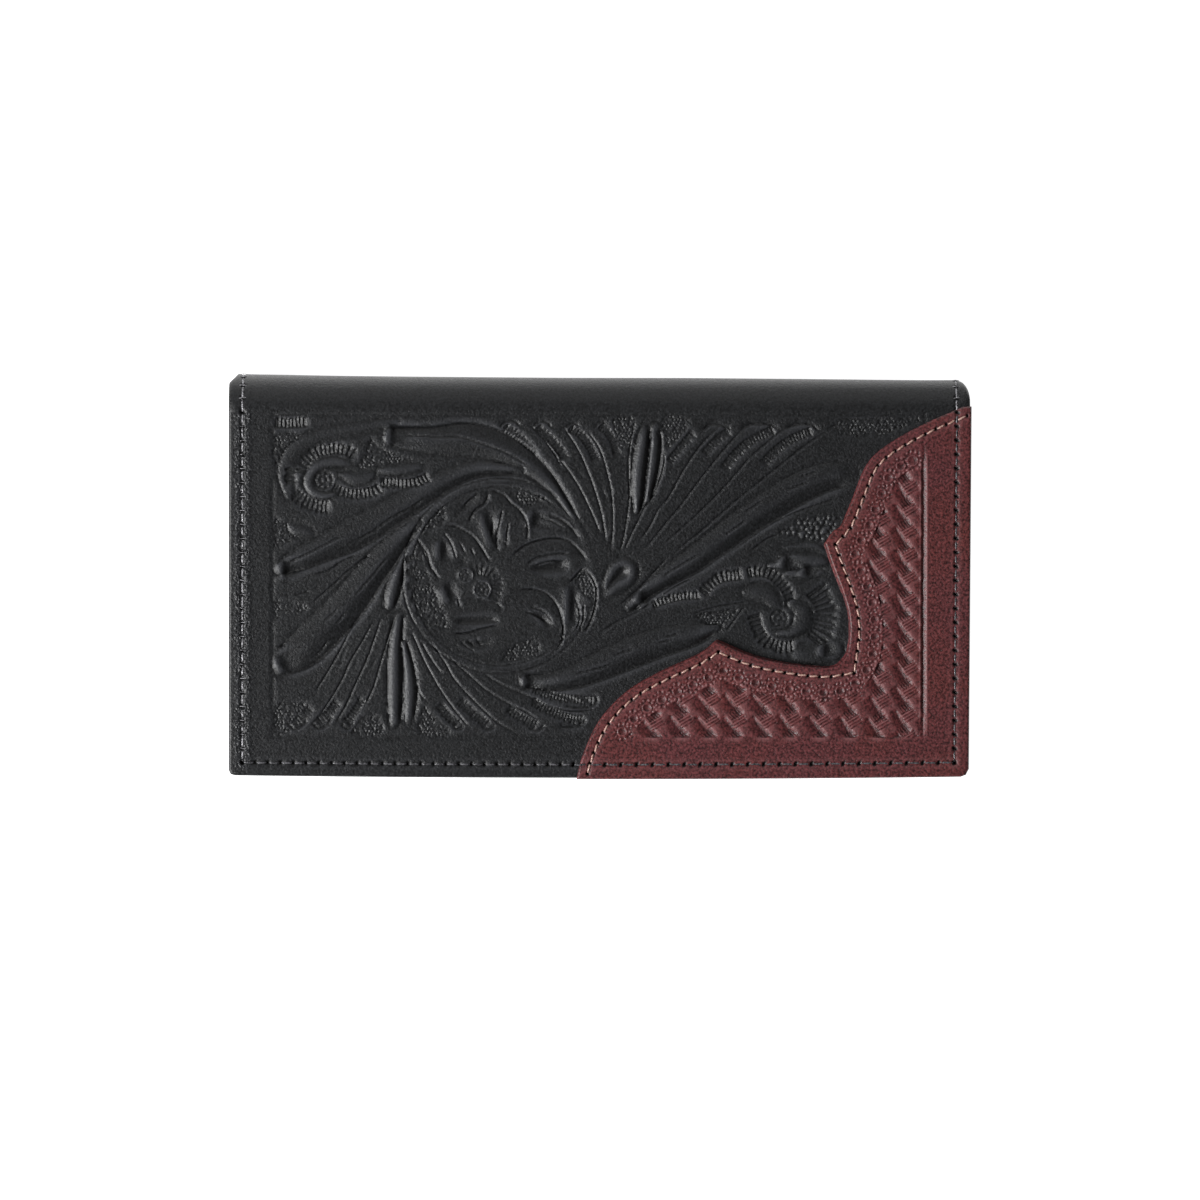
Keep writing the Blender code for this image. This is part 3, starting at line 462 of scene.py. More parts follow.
# Each leather's second colour is painted shade in the cuts and its third is painted highlight on the high
# places, both partly dye and wear as well
BLACK_LEATHER = TooledLeather("tooled_cowhide_black_dyed", "#18191b", "#060607", "#3a3b3f", "#151618",
                             grain_mm=0.52, fleck=2.0)
BROWN_LEATHER = TooledLeather("stamped_cowhide_oxblood_dyed", "#56282a", "#291214", "#8f5c5d", "#582726",
                             0.42, grain_mm=0.6, fleck=2.15)
INNER_LEATHER = SmoothLeather("side_leather_brown_milled", "#3f2a24", "#2a1a16")
LINING = WovenCloth("cotton_lining_black_woven", "#161617", "#2c2c2e", 0.5)
ZIP_TAPE = WovenCloth("polyester_zip_tape_black_woven", "#121213", "#29292b", 0.4, math.radians(45))
# The black threads' grey and near-white body colours are painted sheen and glints on a black thread; their
# dark second colour is the thread's own black
BLACK_THREAD = WaxedThread("polyester_thread_black_waxed", "#6a696e", "#17171a", 0.45)
FRAYED_THREAD = WaxedThread("polyester_thread_black_frayed", "#c0bfc4", "#1c1c1f", 0.42)
TAN_THREAD = WaxedThread("polyester_thread_tan_waxed", "#dfb9ac", "#9d7466", 0.5)
ZIP_METAL = NickelPlate("zinc_casting_nickel_plated")
VINYL = ClearVinyl("clear_vinyl_calendered")


# Leather worked with knife, beveller and stamps

class Relief:
    """A sheet of leather as a height map in millimetres above its untouched face."""

    # The burr beside a cut as a share of its depth, and the knife line round ribbons and petals
    BURR = 0.38
    KNIFE_DEPTH = 0.11
    KNIFE_HALF = 0.28
    # The ground of a flower centre
    SEED_GROUND = -0.24
    # The slant of an awl's slit to its seam, in degrees
    AWL_SLANT = 62
    # How far in a sheet's edge is rounded
    EDGE = 0.5

    def __init__(self, low: Point, high: Point, step: float) -> None:
        """Starts with a flat sheet.

        Args:
            low: the lowest corner, in millimetres.
            high: the highest corner.
            step: the finest spacing of the mesh.
        """
        self.step = step
        counts = [4 * math.ceil((b - a) / step / 4) for a, b in zip(low, high)]
        self.x = np.linspace(low[0], low[0] + counts[0] * step, counts[0] + 1)
        self.y = np.linspace(low[1], low[1] + counts[1] * step, counts[1] + 1)
        self.h = np.zeros((counts[1] + 1, counts[0] + 1))
        # Where the material paints the awl holes near black, as painted shade
        self.hole = np.zeros_like(self.h)
        self.dice = np.random.default_rng(11)

    def window(self, path: Array, margin: float) -> Window:
        """Gives the rows and columns round a path.

        Args:
            path: points of the path.
            margin: how far round it, in millimetres.

        Returns:
            The slices of rows and of columns.
        """
        cuts = []
        for axis, line in ((1, self.y), (0, self.x)):
            low = np.searchsorted(line, path[:, axis].min() - margin)
            high = np.searchsorted(line, path[:, axis].max() + margin)
            cuts.append(slice(int(low), int(high)))
        return cuts[0], cuts[1]

    def along(self, path: Array, margin: float) -> tuple[Window, Array, Array]:
        """Measures each cell near a path by its place along it and its distance off it.

        Args:
            path: points of the path.
            margin: how far off it to measure.

        Returns:
            The window, the length along the path, and the distance, positive on the path's left.
        """
        win = self.window(path, margin)
        px, py = self.x[win[1]][None, :], self.y[win[0]][:, None]
        best = np.full((py.size, px.size), 1e9)
        run = np.zeros_like(best)
        side = np.ones_like(best)
        gone = 0.0
        for (ax, ay), (bx, by) in zip(path[:-1, :2], path[1:, :2]):
            ux, uy = bx - ax, by - ay
            length = math.hypot(ux, uy) or 1e-9
            t = np.clip(((px - ax) * ux + (py - ay) * uy) / length ** 2, 0, 1)
            dx, dy = px - ax - t * ux, py - ay - t * uy
            far = np.hypot(dx, dy)
            near = far < best
            best = np.where(near, far, best)
            run = np.where(near, gone + t * length, run)
            side = np.where(near, np.where(ux * dy - uy * dx >= 0, 1.0, -1.0), side)
            gone += length
        return win, run, best * side

    def within(self, path: Array, margin: float) -> tuple[Window, Array]:
        """Measures how deep inside a closed outline each cell lies.

        Args:
            path: the outline's points.
            margin: how far outside to measure.

        Returns:
            The window and the depth, negative outside.
        """
        ring = np.vstack([path[:, :2], path[:1, :2]])
        win, _, far = self.along(ring, margin)
        px, py = self.x[win[1]][None, :], self.y[win[0]][:, None]
        odd = np.zeros(far.shape, bool)
        for (ax, ay), (bx, by) in zip(ring, ring[1:]):
            crosses = (ay > py) != (by > py)
            odd ^= crosses & (px < (bx - ax) * (py - ay) / ((by - ay) or 1e-9) + ax)
        return win, np.where(odd, np.abs(far), -np.abs(far))

    def spot(self, at: Point, reach: float) -> tuple[Window, Array, Array]:
        """Gives the cells round a spot.

        Args:
            at: the spot.
            reach: how far round it, in millimetres.

        Returns:
            The window, and how far across and up from the spot its columns and rows lie.
        """
        win = self.window(np.array([at]), reach)
        return win, self.x[win[1]][None, :] - at[0], self.y[win[0]][:, None] - at[1]

    def sink(self, win: Window, amount: Array) -> None:
        """Presses a window of the leather down by an amount."""
        self.h[win] -= amount

    def cut(self, points: list[Point], depth: float = 0.13, half: float = 0.28, bevel: float = 0.0) -> None:
        """Cuts one line with the knife and bevels one side of it.

        Args:
            points: where it goes.
            depth: its depth at the middle of its length.
            half: half its width.
            bevel: how far the leather on its right is pressed down, or on its left if negative.
        """
        path = smooth(points)
        win, run, off = self.along(path, 2.6)
        total = run_length(path)[-1]
        taper = np.clip(np.minimum(run, total - run) / (0.12 * total), 0.15, 1)
        self.sink(win, depth * taper * tent(off, half))
        self.sink(win, -self.BURR * depth * taper * np.exp(-((np.abs(off) - 1.5 * half) / 0.16) ** 2))
        if bevel:
            far = np.where(off * -bevel > 0, np.abs(off), 9.0)
            self.sink(win, abs(bevel) * taper * np.exp(-(far / 1.1) ** 2))

    def band(self, points: list[tuple[float, float, float]], rise: float, fall: float = 0.3) -> None:
        """Carves a ribbon: a low crown that falls away on its shaded side, with a knife line at each edge.

        Args:
            points: its middle line and half width.
            rise: how high its crown stands.
            fall: how far its shaded side drops.
        """
        path = smooth(points)
        if path[-1, 0] < path[0, 0]:
            path = path[::-1]
        win, run, off = self.along(path, path[:, 2].max() + 1.6)
        total = run_length(path[:, :2])[-1]
        width = np.interp(run, run_length(path[:, :2]), np.maximum(path[:, 2], 0.2))
        way = path[-1, :2] - path[0, :2]
        away = math.copysign(1.0, SHADED[0] * -way[1] + SHADED[1] * way[0])
        share = off * away / width
        crown = 1 - np.clip(np.abs(share), 0, 1) ** 1.8
        live = ease((run + 0.8) / 2.0) * ease((total - run + 0.8) / 4.0)
        body = live * (rise * crown - fall * ease((share + 0.15) / 1.15))
        outside = np.abs(off) - width
        wall = np.where(share > 0, fall * np.exp(-(outside / 0.42) ** 2),
                        0.08 * np.exp(-(outside / 0.6) ** 2))
        beside = np.where(outside < 1.6, self.h[win] - wall * live, self.h[win])
        self.h[win] = np.where(outside < 0, body, beside)
        self.sink(win, self.KNIFE_DEPTH * tent(outside, self.KNIFE_HALF))

    def lobe(self, outline: list[Point], rise: float, press: float = 0.05, reach: float = 3.2) -> None:
        """Raises a petal or leaf that swells a little from its outline.

        Args:
            outline: the petal's edge.
            rise: how high its middle stands over its edge.
            press: how deep its edge is pressed.
            reach: how far in it keeps swelling.
        """
        path = smooth(outline, 5, True)
        win, deep = self.within(path, 2.0)
        body = -press + rise * (1 - (1 - np.clip(deep / reach, 0, 1)) ** 2)
        ground = self.h[win] - press * np.exp(-(np.minimum(deep, 0) / 0.7) ** 2)
        self.h[win] = np.where(deep > 0, body, np.where(deep > -1.8, ground, self.h[win]))
        self.sink(win, self.KNIFE_DEPTH * tent(deep, self.KNIFE_HALF))

    def hollow(self, outline: list[Point], depth: float, reach: float = 1.3, lip: float = 0.0) -> None:
        """Presses a smooth hollow into a closed outline.

        Args:
            outline: its edge.
            depth: its depth.
            reach: how far in it keeps falling.
            lip: how high the leather is pushed up round it.
        """
        win, deep = self.within(smooth(outline, 5, True), 2.0)
        self.sink(win, depth * ease(deep / reach) - lip * np.exp(-((deep + 0.45) / 0.55) ** 2))

    def press(self, at: Point, length: float, width: float, turn: float, depth: float = 0.42) -> None:
        """Presses a soft bowl and pushes a ridge up at its left, as a modelling tool does.

        Args:
            at: the middle of the ridge.
            length: how long the ridge is.
            width: how far the bowl reaches.
            turn: the way from the ridge to the bowl, in degrees.
            depth: the bowl's depth.
        """
        win, px, py = self.spot(at, length + width + 2.0)
        turn = math.radians(turn)
        ahead = px * math.cos(turn) + py * math.sin(turn)
        across = -px * math.sin(turn) + py * math.cos(turn)
        cap = np.clip(1 - (across / (length / 2)) ** 2, 0, 1) ** 0.7
        ridge = np.exp(-(ahead / 0.9) ** 2)
        bowl = np.exp(-((ahead - 1.7) / 0.9) ** 2) * (ahead < 1.7)
        bowl += np.exp(-((ahead - 1.7) / (0.6 * width)) ** 2) * (ahead >= 1.7)
        self.sink(win, depth * cap * (bowl - 0.75 * ridge))

    def ribs(self, points: list[Point], start: float, end: float, pitch: float = 0.78,
             height: float = 0.15) -> None:
        """Stamps a row of fine ribs square to a path, as a veiner leaves them.

        Args:
            points: the path.
            start: where the ribs start, off the path, positive on its left.
            end: where they end.
            pitch: the spacing of the ribs.
            height: their height.
        """
        path = smooth(points)
        win, run, off = self.along(path, max(abs(start), abs(end)) + 0.6)
        total = run_length(path)[-1]
        pitch = total / max(1, round(total / pitch))
        share = (off - start) / (end - start)
        inside = ease(share / 0.12) * ease((1 - share) / 0.18)
        inside *= ease(run / 0.3) * ease((total - run) / 0.3)
        ways = np.gradient(path[:, 0]) / np.maximum(np.linalg.norm(np.gradient(path, axis=0), axis=1), 1e-9)
        peak = 0.5 + 0.24 * np.clip(2 * np.interp(run, run_length(path), ways), -1, 1)
        phase = run / pitch % 1.0
        wave = np.where(phase < peak, phase / peak, (1 - phase) / (1 - peak))
        ragged = 0.5 + 0.5 * np.sin(5.3 * run + 0.7 * np.sin(2.1 * run))
        inside *= ease((1.16 - share - 0.3 * ragged) / 0.2)
        worked = -0.1 - height * (1 - wave)
        self.h[win] = self.h[win] * (1 - inside) + worked * inside

    def beads(self, outline: list[Point], pitch: float = 0.8, height: float = 0.2,
              level: float = -0.2) -> None:
        """Mats the background of an outline with small round seeds.

        Args:
            outline: the patch's edge.
            pitch: the spacing of the seeds.
            height: their height.
            level: how low the ground between them lies.
        """
        path = smooth(outline, 5, True)
        win, deep = self.within(path, 0.8)
        mask = ease(deep / 0.5)
        px, py = self.x[win[1]][None, :], self.y[win[0]][:, None]
        ground = np.full(deep.shape, level)
        low, high = path.min(0), path.max(0)
        for row, y in enumerate(np.arange(low[1], high[1], pitch * 0.87)):
            for x in np.arange(low[0] + (row % 2) * pitch / 2, high[0], pitch):
                jx, jy = self.dice.normal(0, 0.12 * pitch, 2)
                r2 = ((px - x - jx) ** 2 + (py - y - jy) ** 2) / (0.46 * pitch) ** 2
                if r2.min() < 1:
                    ground = np.maximum(ground, level + height * np.sqrt(np.clip(1 - r2, 0, 1)))
        self.h[win] = self.h[win] * (1 - mask) + ground * mask

    def seed(self, at: Point, radius: float, turns: int) -> None:
        """Stamps a round flower centre: a ring of seeds round one seed, in a fine raised ring.

        Args:
            at: its middle.
            radius: its radius.
            turns: how many seeds stand in the ring.
        """
        win, px, py = self.spot(at, radius + 1.2)
        far = np.hypot(px, py)
        ground = self.SEED_GROUND
        body = np.where(far < radius, ground, self.h[win])
        body = np.maximum(body, np.where(np.abs(far - radius) < 0.4, 0.06 - 0.7 * np.abs(far - radius), -9))
        size = 0.95 * radius * math.sin(math.pi / turns) * 0.62 + 0.14
        spots = [(0.0, 0.0)] + arc((0.0, 0.0), 0.6 * radius, 2 * math.pi * np.arange(turns) / turns)
        for sx, sy in spots:
            body = np.maximum(body, ground - ground * tent(np.hypot(px - sx, py - sy), size) * 1.3)
        self.h[win] = body

    def rosette(self, at: Point, radius: float = 1.85, beads: int = 10) -> None:
        """Stamps a small round ornament: a dimple with a ring of fine beads round it.

        Args:
            at: its middle.
            radius: the radius of the ring of beads.
            beads: how many beads the ring has.
        """
        win, px, py = self.spot(at, radius + 1.0)
        far = np.hypot(px, py)
        self.sink(win, 0.14 * ease((radius + 0.5 - far) / 0.4))
        self.sink(win, 0.16 * ease((0.5 * radius - far) / (0.4 * radius)))
        self.sink(win, -0.17 * tent(far - 0.56 * radius, 0.24))
        for k in range(beads):
            turn = 2 * math.pi * (k + 0.3 * float(self.dice.random())) / beads
            bx, by = radius * math.cos(turn), radius * math.sin(turn)
            self.sink(win, -0.32 * tent(np.hypot(px - bx, py - by), 0.42))

    def awl_holes(self, places: Array, size: float = 0.5, depth: float = 0.7) -> None:
        """Pierces a row of slanted slits, as a diamond awl leaves them.

        Args:
            places: the holes.
            size: half their length.
            depth: how far the leather is drawn down round them.
        """
        ways = np.gradient(places[:, :2], axis=0)
        for (x, y), (wx, wy) in zip(places[:, :2], ways / np.linalg.norm(ways, axis=1)[:, None]):
            win, px, py = self.spot((x, y), 2.4 * size)
            turn = math.radians(self.AWL_SLANT)
            sx, sy = wx * math.cos(turn) - wy * math.sin(turn), wx * math.sin(turn) + wy * math.cos(turn)
            far = np.hypot((px * sx + py * sy) / 1.15, (py * sx - px * sy) / 0.72)
            self.h[win] -= depth * ease(1 - far / (1.25 * size))
            # Marks the slit for the material, which paints it near black as painted shade
            self.hole[win] = np.maximum(self.hole[win], ease((1.3 * size - far) / (0.5 * size)))

    def crease(self, corners: Array, depth: float, half: float = 0.36) -> None:
        """Presses a closed line with straight sides.

        Args:
            corners: its corners.
            depth: its depth.
            half: half its width.
        """
        for a, b in zip(corners, np.roll(corners, -1, axis=0)):
            win, _, off = self.along(np.array([a, b]), 1.5)
            self.sink(win, depth * tent(off, half))

    def scuff(self, path: Array, half: float, height: float) -> None:
        """Roughens the leather beside a path, as handling and the awl's foot do.

        Args:
            path: the path.
            half: how far beside it.
            height: the height of the highest grains.
        """
        win, _, off = self.along(path, half + 0.2)
        grains = self.dice.random(off.shape) ** 4
        self.sink(win, -height * grains * ease((half - np.abs(off)) / 0.7))

    def stitch_groove(self, path: Array, depth: float = 0.3, half: float = 0.85) -> None:
        """Presses the groove that a seam lies in.

        Args:
            path: the seam.
            depth: its depth.
            half: half its width.
        """
        win, _, off = self.along(path, half + 0.5)
        self.sink(win, depth * ease(1 - np.abs(off) / half))

    def sheet(self, name: str, outline: Array, top: float, thick: float, finish: bpy.types.Material,
              budget: int, plain: Array | None = None, face_down: bool = False, flush: float = 1e3,
              opening: Array | None = None) -> Piece:
        """Turns the height map into a closed sheet, with small faces only where the leather is worked.

        Args:
            name: the piece's name.
            outline: the sheet's edge, in millimetres.
            top: the height of its face.
            thick: its thickness.
            finish: its material.
            budget: about how many cells it may have.
            plain: an outline inside which the leather is covered and left plain.
            face_down: whether the worked face looks down.
            flush: the height on the sheet from which its edge goes on in the next part and isn't rounded.
            opening: the edge of an opening in it.

        Returns:
            The sheet.
        """
        drop, foot = min(0.5, 0.4 * thick), min(0.35, 0.3 * thick)
        self.h = 0.85 * self.h + 0.15 * blurred(self.h, 1)
        goes_on = outline[:, 1] > flush - 0.01
        longer = outline + np.outer(goes_on, [0.0, 4.0])
        inner = self.depth_in(outline, opening)
        rounding = self.depth_in(longer, opening)
        heights = self.h.copy()
        if plain is not None:
            cover_win, cover = self.within(plain, 1.0)
            heights[cover_win] = np.where(cover > 1.2, 0.0, heights[cover_win])
        heights -= 0.8 * drop * np.clip(1 - rounding / self.EDGE, 0, 1) ** 2
        # How far each cell lies above or below its surroundings; the material reads it as carve and paints
        # shade where it is low and highlight where it is high
        shade = self.h - blurred(self.h, 5)
        cells = self.cells(heights, inner, budget)
        points, faces = self.faces(cells)
        rows, cols = points[:, 0], points[:, 1]
        place = np.stack([self.x[cols], self.y[rows], heights[rows, cols] + top], 1)
        edges = {}
        for face in faces:
            for a, b in zip(face, face[1:] + face[:1]):
                if edges.pop((b, a), None) is None:
                    edges[(a, b)] = True
        rim = sorted({a for pair in edges for a in pair})
        rings = [np.vstack([ring, ring[:1]]) for ring in (outline, opening) if ring is not None]
        away = np.zeros((len(rim), 2))
        for k, n in enumerate(rim):
            spots = [nearest_on(ring, place[n, :2]) for ring in rings]
            pick = int(np.argmin([np.linalg.norm(spot - place[n, :2]) for spot in spots]))
            middle = (rings[pick].min(0) + rings[pick].max(0)) / 2
            place[n, :2] = spots[pick]
            away[k] = np.sign(middle - spots[pick]) * (-1 if pick else 1)
            if place[n, 1] < flush - 0.01:
                place[n, 2] = top - drop
        values = shade[rows, cols]
        holes = self.hole[rows, cols]
        count = len(place)
        lower = {n: count + k for k, n in enumerate(rim)}
        under = {n: count + len(rim) + k for k, n in enumerate(rim)}
        wall = place[rim].copy()
        wall[:, 2] = top - thick + foot
        base = place[rim].copy()
        base[:, 2] = top - thick
        base[:, :2] += away * min(0.25, 0.5 * thick)
        place = np.vstack([place, wall, base])
        upper = list(faces)
        for a, b in edges:
            faces.append([b, a, lower[a], lower[b]])
            faces.append([lower[b], lower[a], under[a], under[b]])
        if opening is None:
            faces.append([under[n] for n in reversed(loop_of(list(edges)))])
        else:
            inside = [n for n in range(count) if n not in under]
            floor = {n: len(place) + k for k, n in enumerate(inside)} | under
            level = place[inside].copy()
            level[:, 2] = top - thick
            place = np.vstack([place, level])
            faces += [[floor[n] for n in reversed(face)] for face in upper]
        spare = len(place) - count
        # The walls and the underside count as a little low, so they get a little of the deep colour
        values = np.concatenate([values, np.full(spare, -0.05)])
        holes = np.concatenate([holes, np.zeros(spare)])
        if face_down:
            place[:, 2] *= -1
            faces = [face[::-1] for face in faces]
        made = new_object(name, place, faces, finish, 50.0)
        point_values(made, "carve", values)
        point_values(made, "hole", holes)
        return made

    def depth_in(self, outline: Array, opening: Array | None) -> Array:
        """Measures how far each cell lies inside a sheet.

        Args:
            outline: the sheet's edge.
            opening: the edge of an opening in it.

        Returns:
            The distance to the nearest edge, negative outside.
        """
        field = np.full(self.h.shape, -99.0)
        win, deep = self.within(outline, 99.0)
        field[win] = deep
        if opening is not None:
            win, deep = self.within(opening, 99.0)
            field[win] = np.minimum(field[win], -deep)
        return field

    def cells(self, heights: Array, inner: Array, budget: int) -> list[tuple[int, int, int]]:
        """Chooses the cells of the mesh, small where one flat cell would miss the shape.

        Args:
            heights: the heights to follow.
            inner: the depth inside the outline.
            budget: about how many cells to keep.

        Returns:
            The row, column and size of each cell.
        """
        def misfit(size: int) -> Array:
            """Measures how far each cell's flat face misses the heights in it."""
            low = heights[:-1:size, :-1:size][:heights.shape[0] // size, :heights.shape[1] // size]
            right = heights[:-1:size, size::size]
            up = heights[size::size, :-1:size]
            far = heights[size::size, size::size]
            worst = np.zeros_like(low)
            for a in range(size + 1):
                for b in range(size + 1):
                    u, v = a / size, b / size
                    guess = (1 - u) * (1 - v) * low + (1 - u) * v * right + u * (1 - v) * up + u * v * far
                    real = heights[a:a + low.shape[0] * size:size, b:b + low.shape[1] * size:size]
                    worst = np.maximum(worst, np.abs(guess - real))
            return worst

        coarse, middle = misfit(4), misfit(2)
        mid4 = inner[2::4, 2::4]
        mid2 = inner[1::2, 1::2]
        mid1 = 0.25 * (inner[:-1, :-1] + inner[1:, :-1] + inner[:-1, 1:] + inner[1:, 1:])
        near_edge = np.abs(mid4) < 1.2
        alive = mid4 > -1.2
        low, high = 0.004, 0.2
        for _ in range(14):
            limit = math.sqrt(low * high)
            split = ((coarse > limit) | near_edge) & alive
            fine = (middle > limit) & np.kron(split, np.ones((2, 2), bool))
            count = alive.sum() + 3 * split.sum() + 3 * fine.sum()
            if count > budget:
                low = limit
            else:
                high = limit
        split = ((coarse > high) | near_edge) & alive
        fine = (middle > high) & np.kron(split, np.ones((2, 2), bool))
        chosen = [(4 * i, 4 * j, 4) for i, j in zip(*np.nonzero(alive & ~split))]
        whole = np.kron(split, np.ones((2, 2), bool)) & ~fine
        chosen += [(2 * i, 2 * j, 2) for i, j in zip(*np.nonzero(whole & (mid2 > 0)))]
        small = np.kron(fine, np.ones((2, 2), bool)) & (mid1 > 0)
        chosen += [(i, j, 1) for i, j in zip(*np.nonzero(small))]
        LOG.info("cells follow the relief to %.3f mm: %d cells", high, len(chosen))
        return [(int(i), int(j), s) for i, j, s in chosen]

    def faces(self, cells: list[tuple[int, int, int]]) -> tuple[Array, list[list[int]]]:
        """Joins cells of different sizes without gaps.

        Args:
            cells: the row, column and size of each cell.

        Returns:
            The row and column of each point, and the faces.
        """
        used = np.zeros(self.h.shape, bool)
        for i, j, s in cells:
            used[i, j] = used[i + s, j] = used[i, j + s] = used[i + s, j + s] = True
        number = np.full(self.h.shape, -1)
        points = np.argwhere(used)
        number[used] = np.arange(len(points))
        faces = []
        for i, j, s in cells:
            ring = [(i, j + k) for k in range(s)] + [(i + k, j + s) for k in range(s)]
            ring += [(i + s, j + s - k) for k in range(s)] + [(i + s - k, j) for k in range(s)]
            faces.append([int(number[c]) for c in ring if number[c] >= 0])
        return points, faces


def nearest_on(ring: Array, place: Array) -> Array:
    """Finds the nearest point of an outline.

    Args:
        ring: the outline's points, the first one repeated at the end.
        place: the point to start from.

    Returns:
        The nearest point on the outline.
    """
    a, b = ring[:-1], ring[1:]
    u = b - a
    t = np.clip(((place - a) * u).sum(1) / np.maximum((u * u).sum(1), 1e-12), 0, 1)
    spots = a + u * t[:, None]
    return spots[np.argmin(((spots - place) ** 2).sum(1))]


def loop_of(edges: list[tuple[int, int]]) -> list[int]:
    """Puts the edges of one closed rim in order.

    Args:
        edges: the pairs of point numbers, each pointing on to the next.

    Returns:
        The point numbers round the longest rim.
    """
    onward = dict(edges)
    loops = []
    while onward:
        start, here = next(iter(onward.items()))
        del onward[start]
        chain = [start]
        while here != start and here in onward:
            chain.append(here)
            here = onward.pop(here)
        loops.append(chain)
    return max(loops, key=len)


# Sizes shared by the covers, in millimetres

HINGE_Y = 43.2022
THICKNESS = 18.6
FOLD_RADIUS = 9.3
LEATHER = 2.2
FOLD_Y = HINGE_Y - FOLD_RADIUS * math.tan(math.radians(22.5))
OPEN_EDGE = -48.35
LEFT, RIGHT = -89.15, 88.85
OVERLAY_TOP = 20.3
OVERLAY_START = -6.4
SEAM_INSET = 3.2
SIDE_PITCH = 3.42
EDGE_PITCH = 3.05
FOLD_STEP = math.pi / 8
OVERLAY_PITCH = 3.77
TAN_PITCH = 2.72
FIBRE_LIFT = 0.26
SHADED = (0.96, -0.27)


class Face(Enum):
    """The two covers of the closed wallet."""

    FRONT = "front"
    BACK = "back"


def hand_cut(place: Array) -> Array:
    """Moves points by the little that the hand-cut covers are off square.

    Args:
        place: points in millimetres, x and y first.

    Returns:
        The moved points.
    """
    moved = np.array(place, float)
    x, y = moved[:, 0], moved[:, 1]
    low = np.clip((40 - y) / 90, 0, 1)
    moved[:, 0] = x - 0.7 * np.clip(x / 89, 0, 1) * low
    moved[:, 1] = y + 0.6 * (x / 88) ** 2 * np.clip(-y / 48, 0, 1)
    return moved


def cover_outline() -> Array:
    """Gives the edge of one cover, up to where the fold begins."""
    corners = [(LEFT, FOLD_Y), (LEFT, OPEN_EDGE + 1.3), (LEFT + 0.5, OPEN_EDGE + 0.3),
               (LEFT + 1.6, OPEN_EDGE), (RIGHT - 2.0, OPEN_EDGE), (RIGHT - 0.6, OPEN_EDGE + 0.6),
               (RIGHT, OPEN_EDGE + 2.0), (RIGHT, FOLD_Y)]
    dense = []
    for (ax, ay), (bx, by) in zip(corners, corners[1:] + corners[:1]):
        count = max(2, int(math.hypot(bx - ax, by - ay) / 4))
        dense += [(ax + (bx - ax) * k / count, ay + (by - ay) * k / count) for k in range(count)]
    return hand_cut(np.array(dense))


def perimeter_runs() -> list[Array]:
    """Gives the seam round one cover: left side, open edge up to the overlay and on it, right side."""
    left, right = LEFT + SEAM_INSET + 0.15, RIGHT - SEAM_INSET
    low = OPEN_EDGE + SEAM_INSET
    path = [(left, FOLD_Y), (left, low), (OVERLAY_START, low), (right, low), (right, FOLD_Y)]
    runs = []
    for (ax, ay), (bx, by) in zip(path, path[1:]):
        count = max(1, int(math.hypot(bx - ax, by - ay) / 3))
        runs.append(hand_cut(np.array([(ax + (bx - ax) * k / count, ay + (by - ay) * k / count)
                                       for k in range(count + 1)])))
    return runs


def perimeter_seam() -> Array:
    """Gives the whole line of that seam."""
    runs = perimeter_runs()
    return np.vstack([runs[0]] + [run[1:] for run in runs[1:]])


def perimeter_holes() -> list[Array]:
    """Gives the stitch holes of each run of that seam, a hole at every corner."""
    return [spaced(run, pitch) for run, pitch in
            zip(perimeter_runs(), (SIDE_PITCH, EDGE_PITCH, OVERLAY_PITCH, SIDE_PITCH))]


def overlay_arcs(inset: float = 0.0) -> list[Array]:
    """Gives the three arcs of the overlay's scalloped edge, from the right side down to the open edge.

    Args:
        inset: how far inside the edge the line runs.

    Returns:
        The points of each arc in millimetres.
    """
    upper = [(-0.3, 89.9), (11.2, 84.9), (20.1, 79.8), (24.7, 75.3), (28.0, 67.3), (30.7, 60.9), (32.8, 59.2),
             (34.8, 56.3)]
    middle = [(34.8, 56.3), (33.3, 52.0), (29.2, 40.5), (28.8, 32.5), (30.4, 28.2), (34.8, 26.5),
              (49.9, 28.7), (60.9, 33.0)]
    lower = [(60.9, 33.0), (65.2, 29.7), (75.1, 25.1), (82.8, 20.5), (89.2, 13.6), (93.1, 5.2), (94.5, -0.3)]
    arcs = [np.stack([RIGHT - p[:, 0], p[:, 1] + OPEN_EDGE], 1) for p in map(smooth, (upper, middle, lower))]
    if inset:
        arcs = [moved_in(arc, inset) for arc in arcs]
        arcs = trimmed(arcs)
    return [hand_cut(arc) for arc in arcs]


def overlay_edge(inset: float = 0.0) -> Array:
    """Gives that edge as one line."""
    arcs = overlay_arcs(inset)
    return np.vstack([arcs[0], arcs[1][1:], arcs[2][1:]])


def moved_in(path: Array, inset: float) -> Array:
    """Moves a path sideways, to its left.

    Args:
        path: its points.
        inset: how far.

    Returns:
        The moved points, without the ones that fold back.
    """
    way = np.gradient(path, axis=0)
    way /= np.linalg.norm(way, axis=1)[:, None]
    moved = path + inset * np.stack([-way[:, 1], way[:, 0]], 1)
    keep = [0]
    for k in range(1, len(moved)):
        if np.dot(moved[k] - moved[keep[-1]], way[k]) > 0:
            keep.append(k)
    return moved[keep]


